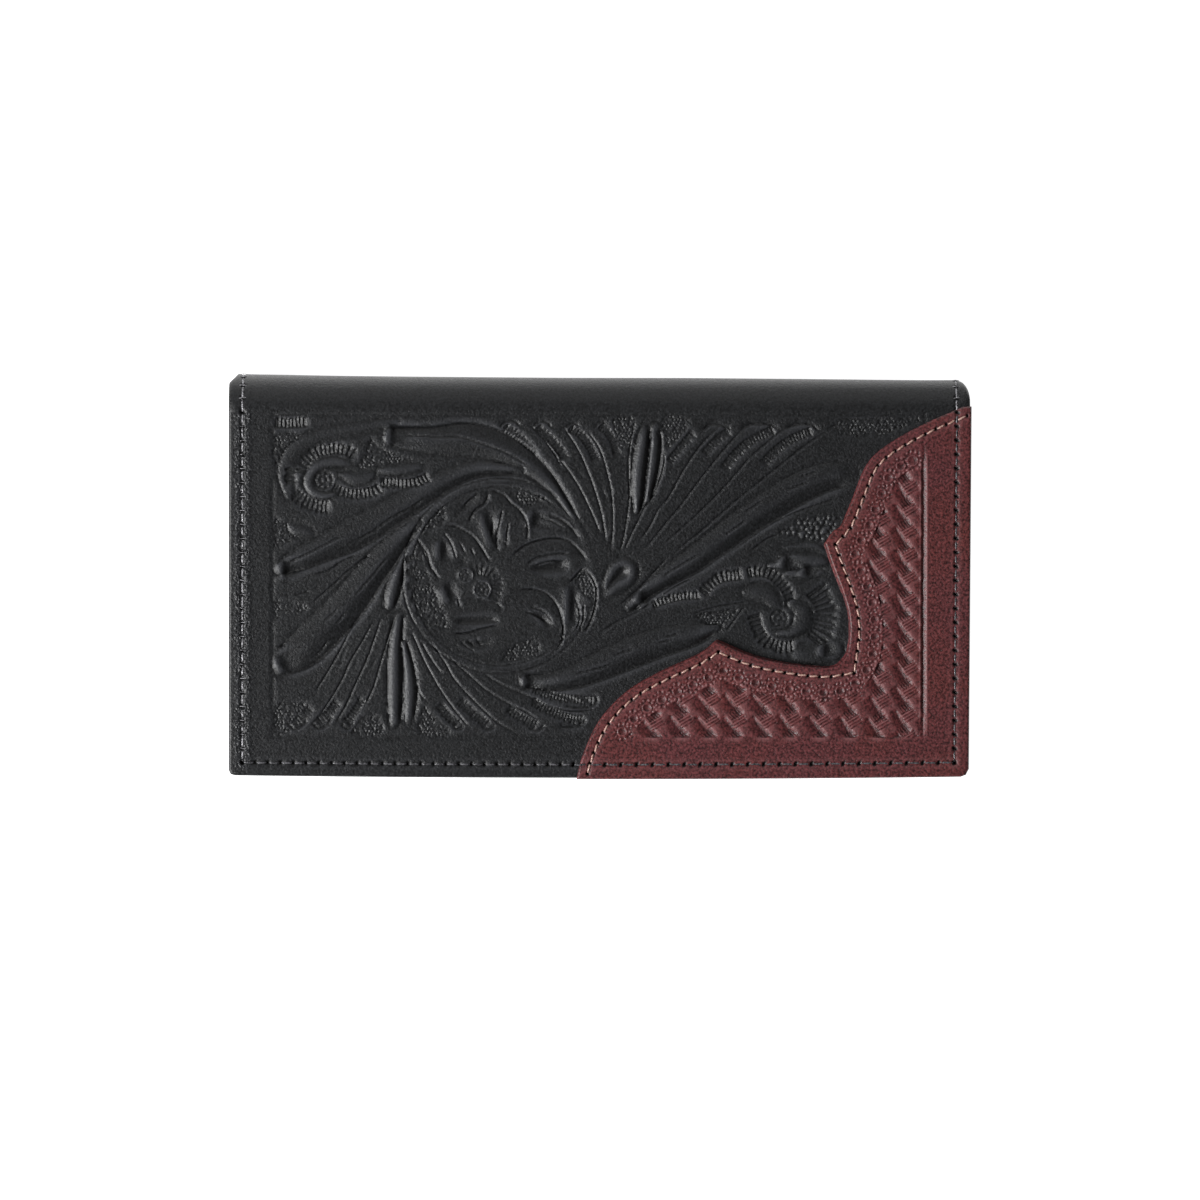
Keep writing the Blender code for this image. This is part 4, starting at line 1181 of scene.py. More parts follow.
def trimmed(arcs: list[Array]) -> list[Array]:
    """Cuts neighbouring arcs where they cross and joins them there.

    Args:
        arcs: paths that cross near their common ends.

    Returns:
        The trimmed paths.
    """
    for n in range(len(arcs) - 1):
        first, second = arcs[n], arcs[n + 1]
        gap = np.linalg.norm(first[:, None, :] - second[None, :, :], axis=2)
        tail, head = max(0, len(first) - 24), min(len(second), 24)
        part = gap[tail:, :head]
        i, j = np.unravel_index(np.argmin(part), part.shape)
        meet = (first[tail + i] + second[j]) / 2
        arcs[n] = np.vstack([first[:tail + i], meet])
        arcs[n + 1] = np.vstack([meet, second[j + 1:]])
    return arcs


def overlay_outline(inset: float = 0.0) -> Array:
    """Gives the whole edge of the overlay, corner and straight sides included.

    Args:
        inset: how far inside it the line runs.

    Returns:
        Its points in millimetres.
    """
    edge = overlay_edge(inset)
    right, low = RIGHT + 0.3 - inset, OPEN_EDGE - 0.3 + inset
    edge = edge[(edge[:, 0] < right) & (edge[:, 1] > low)]
    first = [(right, edge[0, 1] + 0.1)]
    last = [(edge[-1, 0] - 0.05, low)]
    along = [(x, low) for x in np.arange(0, right - 4, 4.0)]
    corner = [(right - 2.0, low), (right - 0.7, low + 0.45), (right, low + 1.9)]
    side = [(right, y) for y in np.arange(low + 4, edge[0, 1] - 2, 4.0)]
    straight = hand_cut(np.array(first + last + along + corner + side))
    return np.vstack([straight[:1], edge, straight[1:]])


# The carved pattern of the front cover

class Carving:
    """Western floral carving: a flower in a ring, scrolls with frilled edges, ribbons and fanned lobes."""

    # Patches of matted background
    MATTED = [
        [(-78.2, 34), (-71.8, 34.2), (-73.5, 31.4), (-76.6, 27.6), (-78.2, 26.2)],
        [(-59, 25.7), (-56.6, 29.5), (-55.3, 33.3), (-52, 31), (-47, 29), (-45, 27.9), (-52, 26.4)],
        [(-78.2, 14), (-75, 12.9), (-71.5, 11.6), (-73, 9), (-78.2, 7)],
        [(3.2, 38.3), (8.3, 38.3), (8.1, 34), (6.2, 30.5), (4.5, 31), (3.2, 35)],
        [(15, 38.4), (21.6, 38), (20.8, 35), (18.3, 32), (16, 30), (15.2, 33)],
        [(55.5, 36.6), (60, 38), (78, 38.3), (72, 35), (66, 33.2), (58, 33.7)],
        [(-45.3, 1.2), (-41.7, 1.5), (-39.6, -2.5), (-38.4, -6), (-36.8, -9), (-36.8, -12.6), (-41, -11.6),
         (-44.3, -8)],
        [(-23.8, -19.9), (-20, -15.7), (-15.2, -15.3), (-14.4, -18.5), (-18.5, -20.4)],
        [(-22, 19.6), (-18, 20.4), (-12.8, 19), (-15, 17.1), (-18.5, 16.6)],
        [(-42.6, 10.8), (-41, 14), (-38, 17.2), (-36.8, 14.8), (-37.4, 12.4)],
        [(-5.6, -0.5), (-3.4, 0.8), (-1.8, -2.4), (-2.8, -4.6), (-5, -3.4)],
        [(-78, -30.8), (-74, -30), (-70.5, -30), (-71.5, -34), (-75, -37.8), (-78, -37.8)],
        [(-60, -37.9), (-56.5, -33.2), (-52.8, -34), (-52, -37.9)],
        [(-42.5, -31), (-39, -34), (-35.5, -37.9), (-43.5, -37.9)],
        [(22.8, -9.4), (28, -7.9), (33.4, -7.6), (30, -12.2), (28.4, -13.8)],
        [(-78.2, -5.5), (-71, -6.5), (-70.5, -8.5), (-76, -9.6), (-78.2, -10.4)],
        [(-6.3, -0.5), (-3.6, 1.4), (-1.4, -2), (-1.2, -6), (-4, -4.6)],
    ]
    LARGE_SEEDS = [
        (43, 10.2), (45, 12.1), (50, 14.4), (57.3, 14.7), (56.4, 11), (54, 8.6), (50, 8.5),
    ]
    # Fan and lobe lines
    LINES = [
        [(-11.8, 30.5), (-8, 26), (-5, 21.5), (-3, 17.5), (-1.3, 13.8), (0.5, 9)],
        [(-10.2, 38), (-7.5, 34), (-5, 30), (-3, 25.5), (-1.5, 21.5), (-0.4, 18), (0.4, 15), (1.1, 11),
         (1.6, 6.2)],
        [(-4.8, 37), (-1, 32.2), (0.6, 29), (2, 24), (2.8, 20), (3.1, 15), (3, 10), (2.5, 5)],
        [(-17.5, 37.4), (-15, 34.5), (-13, 32.3), (-11, 29.5), (-9, 26)],
        [(8.5, 37.4), (7.2, 31), (7, 25), (7.1, 20), (6.9, 17), (6.2, 12), (5.4, 8), (4.2, 4)],
        [(15.3, 31), (15.4, 27), (13.6, 21), (11, 17), (9, 13), (7.3, 9.5), (5.2, 5)],
        [(29.3, 36.8), (26.5, 34), (23.8, 31), (20, 25.3), (16.5, 19), (14, 16), (12, 12), (8.4, 6.8)],
        [(36.5, 36.8), (33, 34), (29, 29.5), (25, 24.5), (22, 20.5), (19, 16.5), (16, 13), (12, 8),
         (8.6, 4)],
        [(47.5, 37), (43, 34.5), (40, 32), (36, 28.5), (33, 25), (29, 20.5), (24, 15.5), (19, 11),
         (14, 6.5)],
        [(57, 36.4), (53, 34), (48, 30.5), (43, 26.5), (38, 22.5), (33, 18.5), (29, 15), (25, 11.5),
         (20, 7.5), (15, 3.5)],
        [(-70.5, -37.3), (-66, -31.5), (-62, -25), (-60, -20.5), (-57, -15.5), (-54, -10)],
        [(-69.5, -29.5), (-66, -24), (-62.5, -18), (-60, -13), (-57, -8), (-53, -2)],
        [(-64.2, -36.3), (-61, -31), (-59, -26.5), (-56, -20), (-54, -14.5), (-52, -8.5)],
        [(-57, -32), (-54.5, -27), (-53, -22), (-51.5, -17), (-50, -12), (-49.3, -9.5)],
        [(-46, -11.5), (-44, -16), (-42, -20.5), (-39, -26), (-36, -30.5), (-32, -35.5), (-29.5, -37.8)],
        [(-45.3, -21.5), (-43.5, -27.5), (-41.5, -30)],
        [(-43, -15.5), (-41, -19), (-39, -22), (-37.5, -23.8)],
        [(-41.5, -14.5), (-39, -18), (-37, -21), (-35, -24.5), (-32, -28), (-28, -32), (-24, -35.5),
         (-19, -38)],
        [(-37, -18.5), (-35, -20.5), (-31, -24), (-27, -27.5), (-22, -30.5), (-17.5, -32.7),
         (-13.5, -35.3)],
        [(-29, -22.4), (-24, -25.8), (-18, -28.4), (-12, -31.2), (-6, -32.4), (0, -31.6)],
        [(-78, -17.3), (-75, -15.8), (-72, -13), (-69, -9.8), (-66, -7.2)],
        [(-70, -7), (-65, -2.8), (-60, 1.7), (-55, 5.5)],
        [(-69, 0.4), (-65, 1.6), (-62, 3.6), (-58.5, 5.2)], [(-73, -4.4), (-70, -3.5)],
        [(17, 5.5), (13, 1), (8, -4), (3.5, -8)],
        [(24, 0.5), (18, -2.5), (13, -6), (8, -9), (3, -11.5), (-1, -15)],
        [(30, 5), (35, 8.5), (40, 12), (44, 14.2), (50, 16.5), (58, 19.2)], [(36, 6), (40, 9), (43, 10.2)],
        [(22, -9), (27, -7.5), (31, -6.7), (35.5, -6.2)], [(34.6, -7.4), (33, -9.5), (30.3, -13.2)],
    ]
    # Short veins and accents
    VEINS = [
        [(24, 17.5), (19, 12.5)], [(32, 19.6), (28, 16)], [(26.6, 21), (25, 19.2)],
        [(0.2, 22.5), (1, 20), (1.8, 17.5)], [(-5.2, 25.2), (-4, 23.5)],
        [(-61, -17), (-62, -20), (-63.2, -22.5)], [(-58.2, -19.5), (-58.8, -21.5)],
        [(-54.2, -20.5), (-54.7, -21.5)], [(-30.5, -26.5), (-28.8, -28.3)],
        [(-26.5, -24.5), (-25.3, -25.8)], [(-47.6, -36), (-47.5, -31), (-48, -27)],
        [(-46.8, -22), (-47, -19.5)], [(-44.4, -32), (-44.8, -29)],
    ]
    # Lobe heads cut as small crescents
    HEADS = [
        [(-24.1, 35.4), (-22.7, 37), (-20.5, 37.1), (-18.9, 35.9)],
        [(-16.1, 35.6), (-14.7, 37.1), (-12.8, 36.9), (-11.6, 35.6)],
        [(-8.4, 35.6), (-6.6, 36.7), (-4.9, 36)], [(-1.3, 35.8), (0.3, 37.1), (2, 36)],
        [(24.5, 34.8), (26.5, 36.4), (29.5, 36.1), (31.8, 35)],
        [(33.6, 35.4), (37, 36.6), (41, 36.3), (43.4, 34.9)],
        [(44.6, 35.6), (48, 36.6), (51, 36.2), (52.6, 34.6)],
        [(-75, -35.2), (-73.4, -36.7), (-71.2, -35.6), (-70, -34.4)],
        [(-69.1, -35.3), (-67.4, -36.5), (-65.5, -35.6), (-63.9, -33.3)],
        [(-62.3, -35.4), (-60.6, -36.6), (-58.9, -35)], [(-35.3, -36), (-34, -36.7), (-32.5, -35.9)],
        [(-28.7, -35.8), (-26.8, -36.8), (-24.9, -35.9)], [(-17.3, -36.4), (-15, -37), (-13.2, -35.7)],
        [(-8.5, -31.2), (-4, -31.6), (-1.4, -30.9), (-0.6, -29.4), (-1.6, -28.2)],
        [(-10, -36.2), (-5.6, -36.1), (-3.9, -35.2), (-3.3, -33.8)],
    ]
    # Ribbed strips down the lobe heads, with half their width
    COMBS = [
        ([(-23.2, 36), (-20.4, 34.3), (-17.6, 31.9), (-15.3, 29)], 1.3),
        ([(-15.2, 36), (-12.8, 34), (-10, 31), (-8.2, 28.2)], 1.25),
        ([(-7.4, 35.7), (-4.5, 34.1), (-2.2, 31), (-0.8, 27.6)], 1.2),
        ([(-0.2, 36.2), (1.8, 34.9), (3.5, 32), (4.2, 29)], 1.15),
        ([(22.5, 34.6), (19.5, 31), (16.6, 27.4)], 1.1), ([(31.2, 35), (28.5, 33), (25, 29.4)], 1.2),
        ([(42, 35.3), (36, 32.3), (32, 28.6), (29.8, 25.7)], 1.35),
        ([(51, 34.9), (46, 32.8), (42, 29.9), (39.2, 26.8)], 1.35),
        ([(-73.6, -35.3), (-71.5, -33.8), (-69.4, -31.3)], 1.2),
        ([(-67.8, -35), (-65, -32.6), (-62.9, -29.9)], 1.25),
        ([(-61, -35.2), (-58.8, -32.2), (-57, -29.2)], 1.15),
        ([(-33.8, -35.8), (-36.5, -33.5), (-38.8, -30.8)], 1.3),
        ([(-26.8, -35.9), (-30.5, -32.8), (-33.8, -29.9)], 1.35),
        ([(-15, -36), (-18.8, -34), (-22.3, -31.8)], 1.3),
        ([(-1.2, -29.8), (-6, -29.6), (-12, -28.6), (-16, -27)], 1.25),
        ([(-3.8, -34.7), (-8, -34), (-13, -31.9), (-16.5, -29.8)], 1.3),
    ]
    # Ribbons, with half their width: how high they rise and how far they fall
    RIBBONS = [
        ([(-74.2, 19, 1.2), (-75.4, 25, 1.9), (-73, 30, 2.1), (-68, 33.3, 1.7), (-62, 34.8, 1.6),
          (-56, 35.9, 1.5), (-49, 37.2, 0.9)], 0.05, 0.1),
        ([(-50.2, 33.6, 2), (-47, 33.2, 2.5), (-40, 32.6, 3.1), (-33, 32.8, 3.8), (-27, 32, 3.6),
          (-22, 30, 3.2), (-17, 27, 2.5), (-13, 23.6, 1.8), (-10, 20, 1.2), (-6, 14, 0.7)], 0.22, 0.34),
        ([(-77, 1.9, 1.4), (-72, 4.2, 2.5), (-66, 7, 3), (-60, 9.9, 3.7), (-54, 13.1, 3.5),
          (-48, 16.6, 3.1), (-42, 20.1, 2.7), (-36, 23.6, 2.3), (-29, 25.9, 1.8), (-19, 25.6, 0.9)], 0.2,
          0.32),
        ([(-76.4, -20.8, 3), (-71, -17.3, 4.3), (-65, -11.6, 4.3), (-60, -6, 4), (-55.5, 0, 3.5),
          (-51, 5.6, 2.9), (-47.5, 9.5, 2.1), (-44, 13, 1.2)], 0.24, 0.36),
        ([(-49.2, -35, 1.3), (-49.2, -28, 1.75), (-49.1, -20, 1.75), (-48.8, -14, 1.4), (-48, -9, 0.9)],
          0.42, 0.22),
        ([(-50.4, -7, 1.2), (-49.8, -4, 1.8), (-48.7, 0, 1.4), (-47.6, 3.4, 0.6)], 0.46, 0.28),
        ([(-45.8, -35, 1), (-45.4, -28, 1.6), (-45.9, -22, 1.3), (-47, -16, 0.7)], 0.3, 0.2),
        ([(59.5, 24.6, 2.6), (54, 23.8, 3.3), (47, 20.8, 3.5), (40, 16.5, 3.5), (34, 12.5, 3.2),
          (28, 8.1, 3), (22, 3.7, 2.8), (16, 0, 2.2), (11, -3.6, 1.6), (7, -7.4, 1.2)], 0.22, 0.36),
        ([(13.5, 36.2, 1), (13, 31, 1.7), (12.3, 25, 1.6), (11.3, 18.5, 0.9)], 0.42, 0.28),
        ([(10.9, 35.9, 1), (10.2, 31, 1.7), (9.4, 25, 1.8), (9.1, 20, 1.5), (8.9, 15.6, 0.7)], 0.48, 0.32),
        ([(28, -12.4, 0.9), (22, -14, 2.6), (15, -15.6, 3.3), (8, -18.1, 3.5), (1, -21, 3.3),
          (-6, -23.9, 2.7), (-12, -25.3, 1.9), (-18, -25.2, 1.3)], 0.24, 0.34),
    ]
    RIBBON_VEINS = [
        [(-49.5, 34.2), (-44, 33.8), (-38, 33.5), (-34, 33.5), (-30, 32.4), (-26, 31), (-22, 29.4),
         (-18, 27), (-15.4, 25)],
        [(-60.2, 8), (-55, 10.6), (-50, 14.2), (-45, 16.8), (-41, 19.6)],
        [(-75, 3.3), (-70, 5.6), (-65, 8.2), (-61.5, 10)], [(-59.3, -5), (-55, -0.2), (-50.5, 5.4)],
        [(-66.5, -11), (-62.5, -7.4)], [(-63.3, -11.2), (-61, -8.6)],
        [(-69.6, -20), (-67, -17.8), (-65.2, -15.2)], [(48, 23.8), (52, 25.2)], [(44.5, 20.7), (50, 22.7)],
        [(34.5, 15.2), (39, 18.2)], [(30, 10), (35, 13.4)], [(24, 5.4), (20, 3.1), (15, 0.1)],
        [(3.5, -18.8), (8, -17.4)], [(14, -15.9), (17, -15.2)], [(16, -14.5), (19, -13.7)],
        [(-6, -23.4), (0, -21.9), (2.5, -21.2)], [(12.7, 34.3), (11.9, 32.5), (11.3, 30.5)],
    ]
    # Frilled edges of the scrolls: the inner line, where the ribs start and end
    FRILLS = [
        ([(-70.3, 24.2), (-69.6, 26.3), (-67.5, 28.3), (-64.5, 29), (-61.5, 28.8), (-59.6, 27.6)], 0.1,
          2.7),
        ([(-72.2, 21.4), (-70.3, 19.7), (-68, 18.7), (-64.6, 18.3)], -0.1, -3.1),
        ([(-63.3, 22.8), (-61, 21.6), (-58, 21.2), (-55, 21.8), (-53.3, 22.7)], -0.1, -2.6),
        ([(-52.6, 24), (-49, 23.7), (-45, 23.8), (-41.5, 25.4)], -0.1, -2.4),
        ([(-78.2, 35.4), (-74, 35.3), (-70, 35.6)], 0.1, 2.6),
        ([(-72.3, 25.8), (-72.7, 24), (-72.4, 22.4)], -0.1, -2.8),
        ([(25.8, -5.2), (27.6, -3), (30, -1.7), (34.4, -1.2)], 0.1, 2.7),
        ([(35.6, -0.7), (38, -0.4), (40.3, -0.9), (42.5, -2.7), (43.9, -5), (44.1, -7.6)], 0.1, 2.7),
        ([(49.2, -4.6), (50.8, -7), (51.4, -9.3), (50.8, -12), (49.2, -14.2)], 0.1, 5.2),
        ([(38.7, -8.6), (39.6, -12), (41.3, -14.3), (44, -15.2), (46.6, -15)], -0.1, -3.1),
        ([(13, -8), (16.5, -6.7), (20, -6), (24.2, -5.8)], 0.1, 2.1),
    ]
    # Smooth lobes of the scrolls, with how high they rise
    SCROLL_BANDS = [
        ([(-60, 26.8, 0.9), (-64, 27.3, 1.4), (-67.6, 26.3, 1.4), (-69.8, 23.4, 1.3), (-69, 20.7, 1.2),
          (-66.4, 19.4, 0.9), (-63.8, 19.7, 0.5)], 0.6),
        ([(36, -3.7, 1.9), (40, -4.1, 2.5), (42.2, -6.4, 1.7), (42.9, -7.6, 0.8)], 0.55),
        ([(46.3, -6.6, 1.2), (48.7, -8.5, 2.3), (48.5, -11.5, 2.3), (46, -13.5, 1.3), (42.5, -13.7, 0.7)],
          0.55),
    ]
    LEAVES = [
        ([(-63, 24.9), (-59, 25.2), (-54.2, 25.3), (-54, 23.5), (-56, 22), (-59.5, 21.8), (-61.6, 23.2)],
          0.75, 2),
        ([(-53.5, 25.8), (-48, 27.1), (-44, 27.3), (-41.8, 26.2), (-46, 24.3), (-51, 24.2)], 0.7, 1.6),
        ([(-75, 12.7), (-71, 12.4), (-68.3, 10.2), (-71, 9.4), (-74, 10.2)], 0.5, 1.6),
        ([(40, 2.4), (43.5, 4.7), (48, 5.7), (53, 5.2), (55.2, 3.4), (53, 2.3), (49, 2.3), (44.5, 1.4)],
          0.9, 1.8),
        ([(43.6, 0.9), (47.5, 1.9), (51, 2), (54, 1.3), (52.5, -0.2), (48.5, -0.8), (45, 0)], 0.75, 1.4),
        ([(43, 7), (48, 8.2), (52, 8.2), (54.8, 5.4), (50, 6.6), (46, 6.4)], 0.5, 1.2),
        ([(47, -17.2), (52, -16.6), (57, -15.2), (58.8, -17.5), (57, -20), (51, -21.2), (46, -20)], 0.8,
          2.2),
        ([(1, -4.8), (1, -0.8), (2.4, 2.8), (5.5, 4.7), (8.8, 3.2), (9.3, 0), (7, -3), (3.8, -4.8)], 0.8,
          1.8),
    ]
    PITS = [
        ([(1.3, -4.1), (1.9, -1.4), (2.9, 0.8), (4.2, 2.4), (6, 2.8), (7.3, 1.2), (6.4, -0.8), (3.8, -2)],
          0.75),
        ([(12.9, 35.2), (14.2, 35), (14.3, 33.2), (13.1, 33)], 0.4),
    ]
    # The flower: the edges and veins of its petals, and the hollows in them
    PETAL_LINES = [
        [(-26.9, 20.8), (-23.2, 19.5), (-21.2, 17.5), (-18.9, 15.5), (-17.3, 12.1), (-17.5, 8.1)],
        [(-26.6, 20.5), (-27.4, 17.8), (-30, 15.8), (-31.5, 12.8)],
        [(-37, 11.8), (-34.7, 11.9), (-32.3, 10.7), (-30, 9.1), (-27.9, 6), (-26.3, 3.3)],
        [(-44.3, 9.4), (-42.8, 7.7), (-41.4, 5.4), (-40.4, 2.3), (-38.4, -1)],
        [(-12.5, 14.8), (-9.1, 13.4), (-6.4, 11.1), (-4.7, 8.7)],
        [(-21.5, 4), (-19.9, 6), (-16.5, 8.1), (-11.8, 9.1), (-8.1, 8.7), (-5.4, 6.7), (-2.4, 3)],
        [(-7.1, -1.4), (-5.5, 0.5), (-4, 2)],
        [(-20.2, -3.7), (-16.5, -3.1), (-13.1, -4.1), (-10.8, -6.1), (-9.4, -9.1), (-8.8, -12.5),
         (-9.4, -16.2), (-11.8, -18.5)],
        [(-4.7, 2), (-2, 0), (-0.7, -4.1), (-1.7, -9.5), (-3.4, -12.8), (-6, -13.2)],
        [(-35.7, -13.8), (-31.6, -13.5), (-28.3, -12.5), (-23.6, -11.5)],
        [(-30.6, -3.7), (-27.9, -5.8), (-24.9, -6.4), (-23.2, -8.1)],
    ]
    PETAL_PITS = [
        ([(-17.2, 2.4), (-13.5, 3.6), (-9.2, 4.6), (-7.4, 3.4), (-7.7, 1.2), (-9.6, 0.4), (-14.5, 0.6)],
          0.5),
        ([(-17, -8.6), (-13.5, -8.4), (-11.2, -10.8), (-11.3, -12.8), (-13, -12.4), (-15, -10.6)], 0.45),
        ([(-34.6, -9.8), (-31.5, -9.2), (-26, -9.2), (-24.3, -10.2), (-24.9, -11.6), (-30, -12.1),
          (-34, -11.8)], 0.45),
        ([(-33.7, -15.4), (-30, -15), (-26.3, -14.6), (-25.2, -16.2), (-28, -17.8), (-31, -17.8)], 0.3),
        ([(-36.4, 14.4), (-34, 16.5), (-31.6, 18.8), (-29, 19.8), (-29.6, 17.8), (-31.6, 15.8),
          (-34.3, 14.4)], 0.35),
        ([(-34.6, 5.2), (-33, 5), (-31, 2.6), (-31.8, 1.6), (-34, 2.8)], 0.3),
    ]
    # Ridges pushed up beside soft bowls: the ridge's middle, its length, the bowl's width and its direction
    PRESSES = [
        (-27.5, 11, 9.4, 2.2, 17), (-39, 6.2, 5, 2.4, 0), (-17, 13.8, 4.2, 4.6, -10),
        (-37.3, -4.6, 4.6, 2.2, 25), (-8, -6.9, 9.8, 1.8, 0), (43.6, 3.6, 3.6, 4.5, -14),
        (48.6, 1.4, 2.8, 3.2, -8), (53, -17.6, 3.4, 3, 0), (-50.9, 33.9, 5.4, 8, -3),
        (-76.6, 1.4, 4.6, 5.5, 14), (-77.2, -21.4, 4.6, 6, 28), (9.4, -6, 4, 6, 36),
        (-18.4, -25.2, 3.6, 7, 4),
    ]
    PETAL_VEINS = [
        [(-23.2, 16.6), (-24, 13), (-24.8, 9), (-24.4, 5.6)], [(-21.8, 13.2), (-22.3, 10), (-22.5, 7)],
        [(-25.6, 13.4), (-26, 9.6)], [(-37.6, 10.5), (-36, 8.5), (-35, 6), (-34.5, 4)],
        [(-33.5, 8), (-32.4, 5.6)], [(-31, 6.7), (-30.2, 5.2)],
        [(-43.9, 8.6), (-42.3, 6), (-41, 3), (-40.2, 0.8)], [(-18.2, 2.4), (-15, 4.5), (-10, 5.5), (-7, 5)],
        [(-16, 2.5), (-12, 3.7), (-9, 3.5)], [(-17, -7.2), (-13.5, -8.5), (-11.4, -10.7)],
        [(-18, -8.4), (-14.5, -9.8), (-12.5, -11.4)], [(-32.8, 16.8), (-31.2, 18.4), (-29.6, 19.4)],
        [(-33.8, -15.4), (-31.8, -17), (-30, -18)], [(-31.8, -15.3), (-30.3, -16.6)],
        [(-29.8, -15), (-28.5, -16.4)], [(-6, -5), (-5, -8), (-5, -11), (-6, -13)],
        [(-4, -6.5), (-3.9, -10), (-5, -12.8)], [(-14.6, 14.2), (-11.5, 13.2), (-8.6, 11.6)],
        [(-34.2, -5), (-33.6, -7.4)],
    ]
    # The middle of the ring round the flower, and of the groups of ribs on its left
    RING = (-24, 0.1)
    RIB_GROUPS = [
        (-44.6, 4.4), (-44.4, 1.2), (-44.1, -2), (-43.2, -5.2), (-42, -8.3), (-40, -11.3),
    ]
    # How much a leaf swells, and how deep the whole carving is worked
    SWELL = 0.13
    DEPTH = 1.35

    def __init__(self, relief: Relief) -> None:
        """Keeps the leather that is carved."""
        self.relief = relief

    def carve(self) -> None:
        """Carves the whole pattern, from the background to the flower."""
        r = self.relief
        for outline in self.MATTED:
            r.beads(outline)
        r.beads(self.LARGE_SEEDS, 1.3, 0.26)
        for line in self.LINES:
            r.cut(line, 0.19, 0.25, 0.035)
        for line in self.VEINS:
            r.cut(line)
        for line in self.HEADS:
            r.cut(line, 0.18, 0.36, -0.12)
        for path, half in self.COMBS:
            r.ribs(path, -half, half, 0.78, 0.2)
        for path, rise, fall in self.RIBBONS:
            r.band(path, rise, fall)
        for line in self.RIBBON_VEINS:
            r.cut(line, 0.18, 0.3)
        for path, start, end in self.FRILLS:
            r.ribs(path, start, 1.2 * end, 0.9, 0.26)
        for path, rise in self.SCROLL_BANDS:
            r.band(path, 0.3 * rise, 0.12)
        for outline, rise, reach in self.LEAVES:
            r.lobe(outline, 2 * self.SWELL * rise, 0.05, reach)
        for outline, depth in self.PITS:
            r.hollow(outline, 0.8 * depth, 1.6, 0.08)
        r.seed((-66.3, 23.2), 2.5, 8)
        r.seed((43, -10), 2.3, 7)
        self.flower()
        for x, y, length, width, way in self.PRESSES:
            r.press((x, y), length, width, way)
        r.h *= self.DEPTH

    def flower(self) -> None:
        """Carves the ring and the flower in it."""
        r = self.relief
        turns = np.linspace(0, 2 * math.pi, 37)
        r.hollow(arc(self.RING, 21.6, turns[:-1:3]), 0.1, 1.0)
        for radius in (21.4, 23.4):
            r.cut(arc(self.RING, radius, turns), 0.16)
        for outline, depth in self.PETAL_PITS:
            r.hollow(outline, depth, 1.7)
        for line in self.PETAL_LINES:
            r.cut(line, 0.24, 0.3, 0.08)
        for line in self.PETAL_VEINS:
            r.cut(line, 0.22, 0.28)
        fan = np.radians(np.linspace(-50, 125, 13))
        r.ribs(arc((-28.9, -2.6), 2.5, fan), -0.1, -3.6, 0.62, 0.24)
        for x, y in self.RIB_GROUPS:
            r.ribs([(x - 2.2, y - 0.5), (x, y + 0.3), (x + 2.4, y)], -1.0, 1.0, 0.74, 0.16)
        r.seed((-32.2, 0.3), 1.7, 7)
        r.seed((-28.2, -3.1), 2.0, 8)


class BasketStamp:
    """Basket-weave stamping: slanted strips that dip at a bright wall and pass under fine crossing bars."""

    # The spacing of the stamps up a column, and the slant of the strips at the left, in degrees
    PITCH = 5.45
    TILT = -50.0
    # The middle of the lowest stamp of each column
    STARTS = [
        (72.3, -34.5), (65.9, -36.7), (58.9, -36), (51.6, -36.2), (44.6, -35.6), (38, -36.4), (31.6, -36.1),
        (25, -36.3), (18.4, -36), (11.8, -36.4), (5.2, -36.2), (-1.4, -36.5),
    ]

    def __init__(self, relief: Relief) -> None:
        """Keeps the leather that is stamped."""
        self.relief = relief

    def fill(self, area: Array, starts: list[Point], turn: float = -10.0) -> None:
        """Stamps every place of an area.

        Args:
            area: the area's outline, which the stamps are cut off at.
            starts: the lowest stamp of each column.
            turn: how much steeper they stand at the right end.
        """
        r = self.relief
        before = r.h.copy()
        for x, low in starts:
            share = min(max((x - 30) / 43, 0.0), 1.0)
            for n in range(-1, int((area[:, 1].max() - low) / self.PITCH) + 2):
                jitter = r.dice.normal(0, 0.16, 2)
                slant = math.radians(self.TILT + turn * share + float(r.dice.normal(0, 1.6)))
                self.strike((x + float(jitter[0]), low + n * self.PITCH + float(jitter[1])), slant)
        win, deep = r.within(area, 1.0)
        mask = np.zeros_like(r.h)
        mask[win] = ease((deep + 0.1) / 0.4)
        r.h = before * (1 - mask) + r.h * mask

    def strike(self, at: Point, slant: float) -> None:
        """Strikes one stamp.

        Args:
            at: its middle.
            slant: the direction of the strip, in radians.
        """
        r = self.relief
        win, px, py = r.spot(at, 5.2)
        if not px.size or not py.size:
            return
        along = px * math.cos(slant) + py * math.sin(slant)
        across = -px * math.sin(slant) + py * math.cos(slant) - 0.03 * along ** 2
        wide = 0.6 + 0.65 * ease((along + 3.0) / 4.5)
        depth = 0.47 * wide * ease((3.6 - np.abs(along)) / 1.0)
        body = np.clip((across + 2.6) / 2.6, 0, 1) ** 1.2 * (across < 0)
        wall = np.clip(1 - across / wide, 0, 1) * (across >= 0)
        r.sink(win, depth * (body + wall))
        ends = ease((along - 1.1) / 0.5) * ease((3.7 - along) / 0.4)
        fringe = ends * ease((across + 2.5) / 0.3) * ease((0.7 - across) / 0.3)
        r.sink(win, fringe * (0.05 - 0.11 * np.cos(2 * math.pi * across / 0.66)))
        lift = math.radians(30)
        bar_x, bar_y = px - 2.15, py - 1.55
        along_bar = bar_x * math.cos(lift) + bar_y * math.sin(lift)
        across_bar = -bar_x * math.sin(lift) + bar_y * math.cos(lift)
        bars = ease((1.75 - np.abs(along_bar)) / 0.3) * ease((1.4 - np.abs(across_bar)) / 0.3)
        r.sink(win, bars * (0.1 - 0.12 * np.cos(2 * math.pi * across_bar / 0.74)))


# Seams

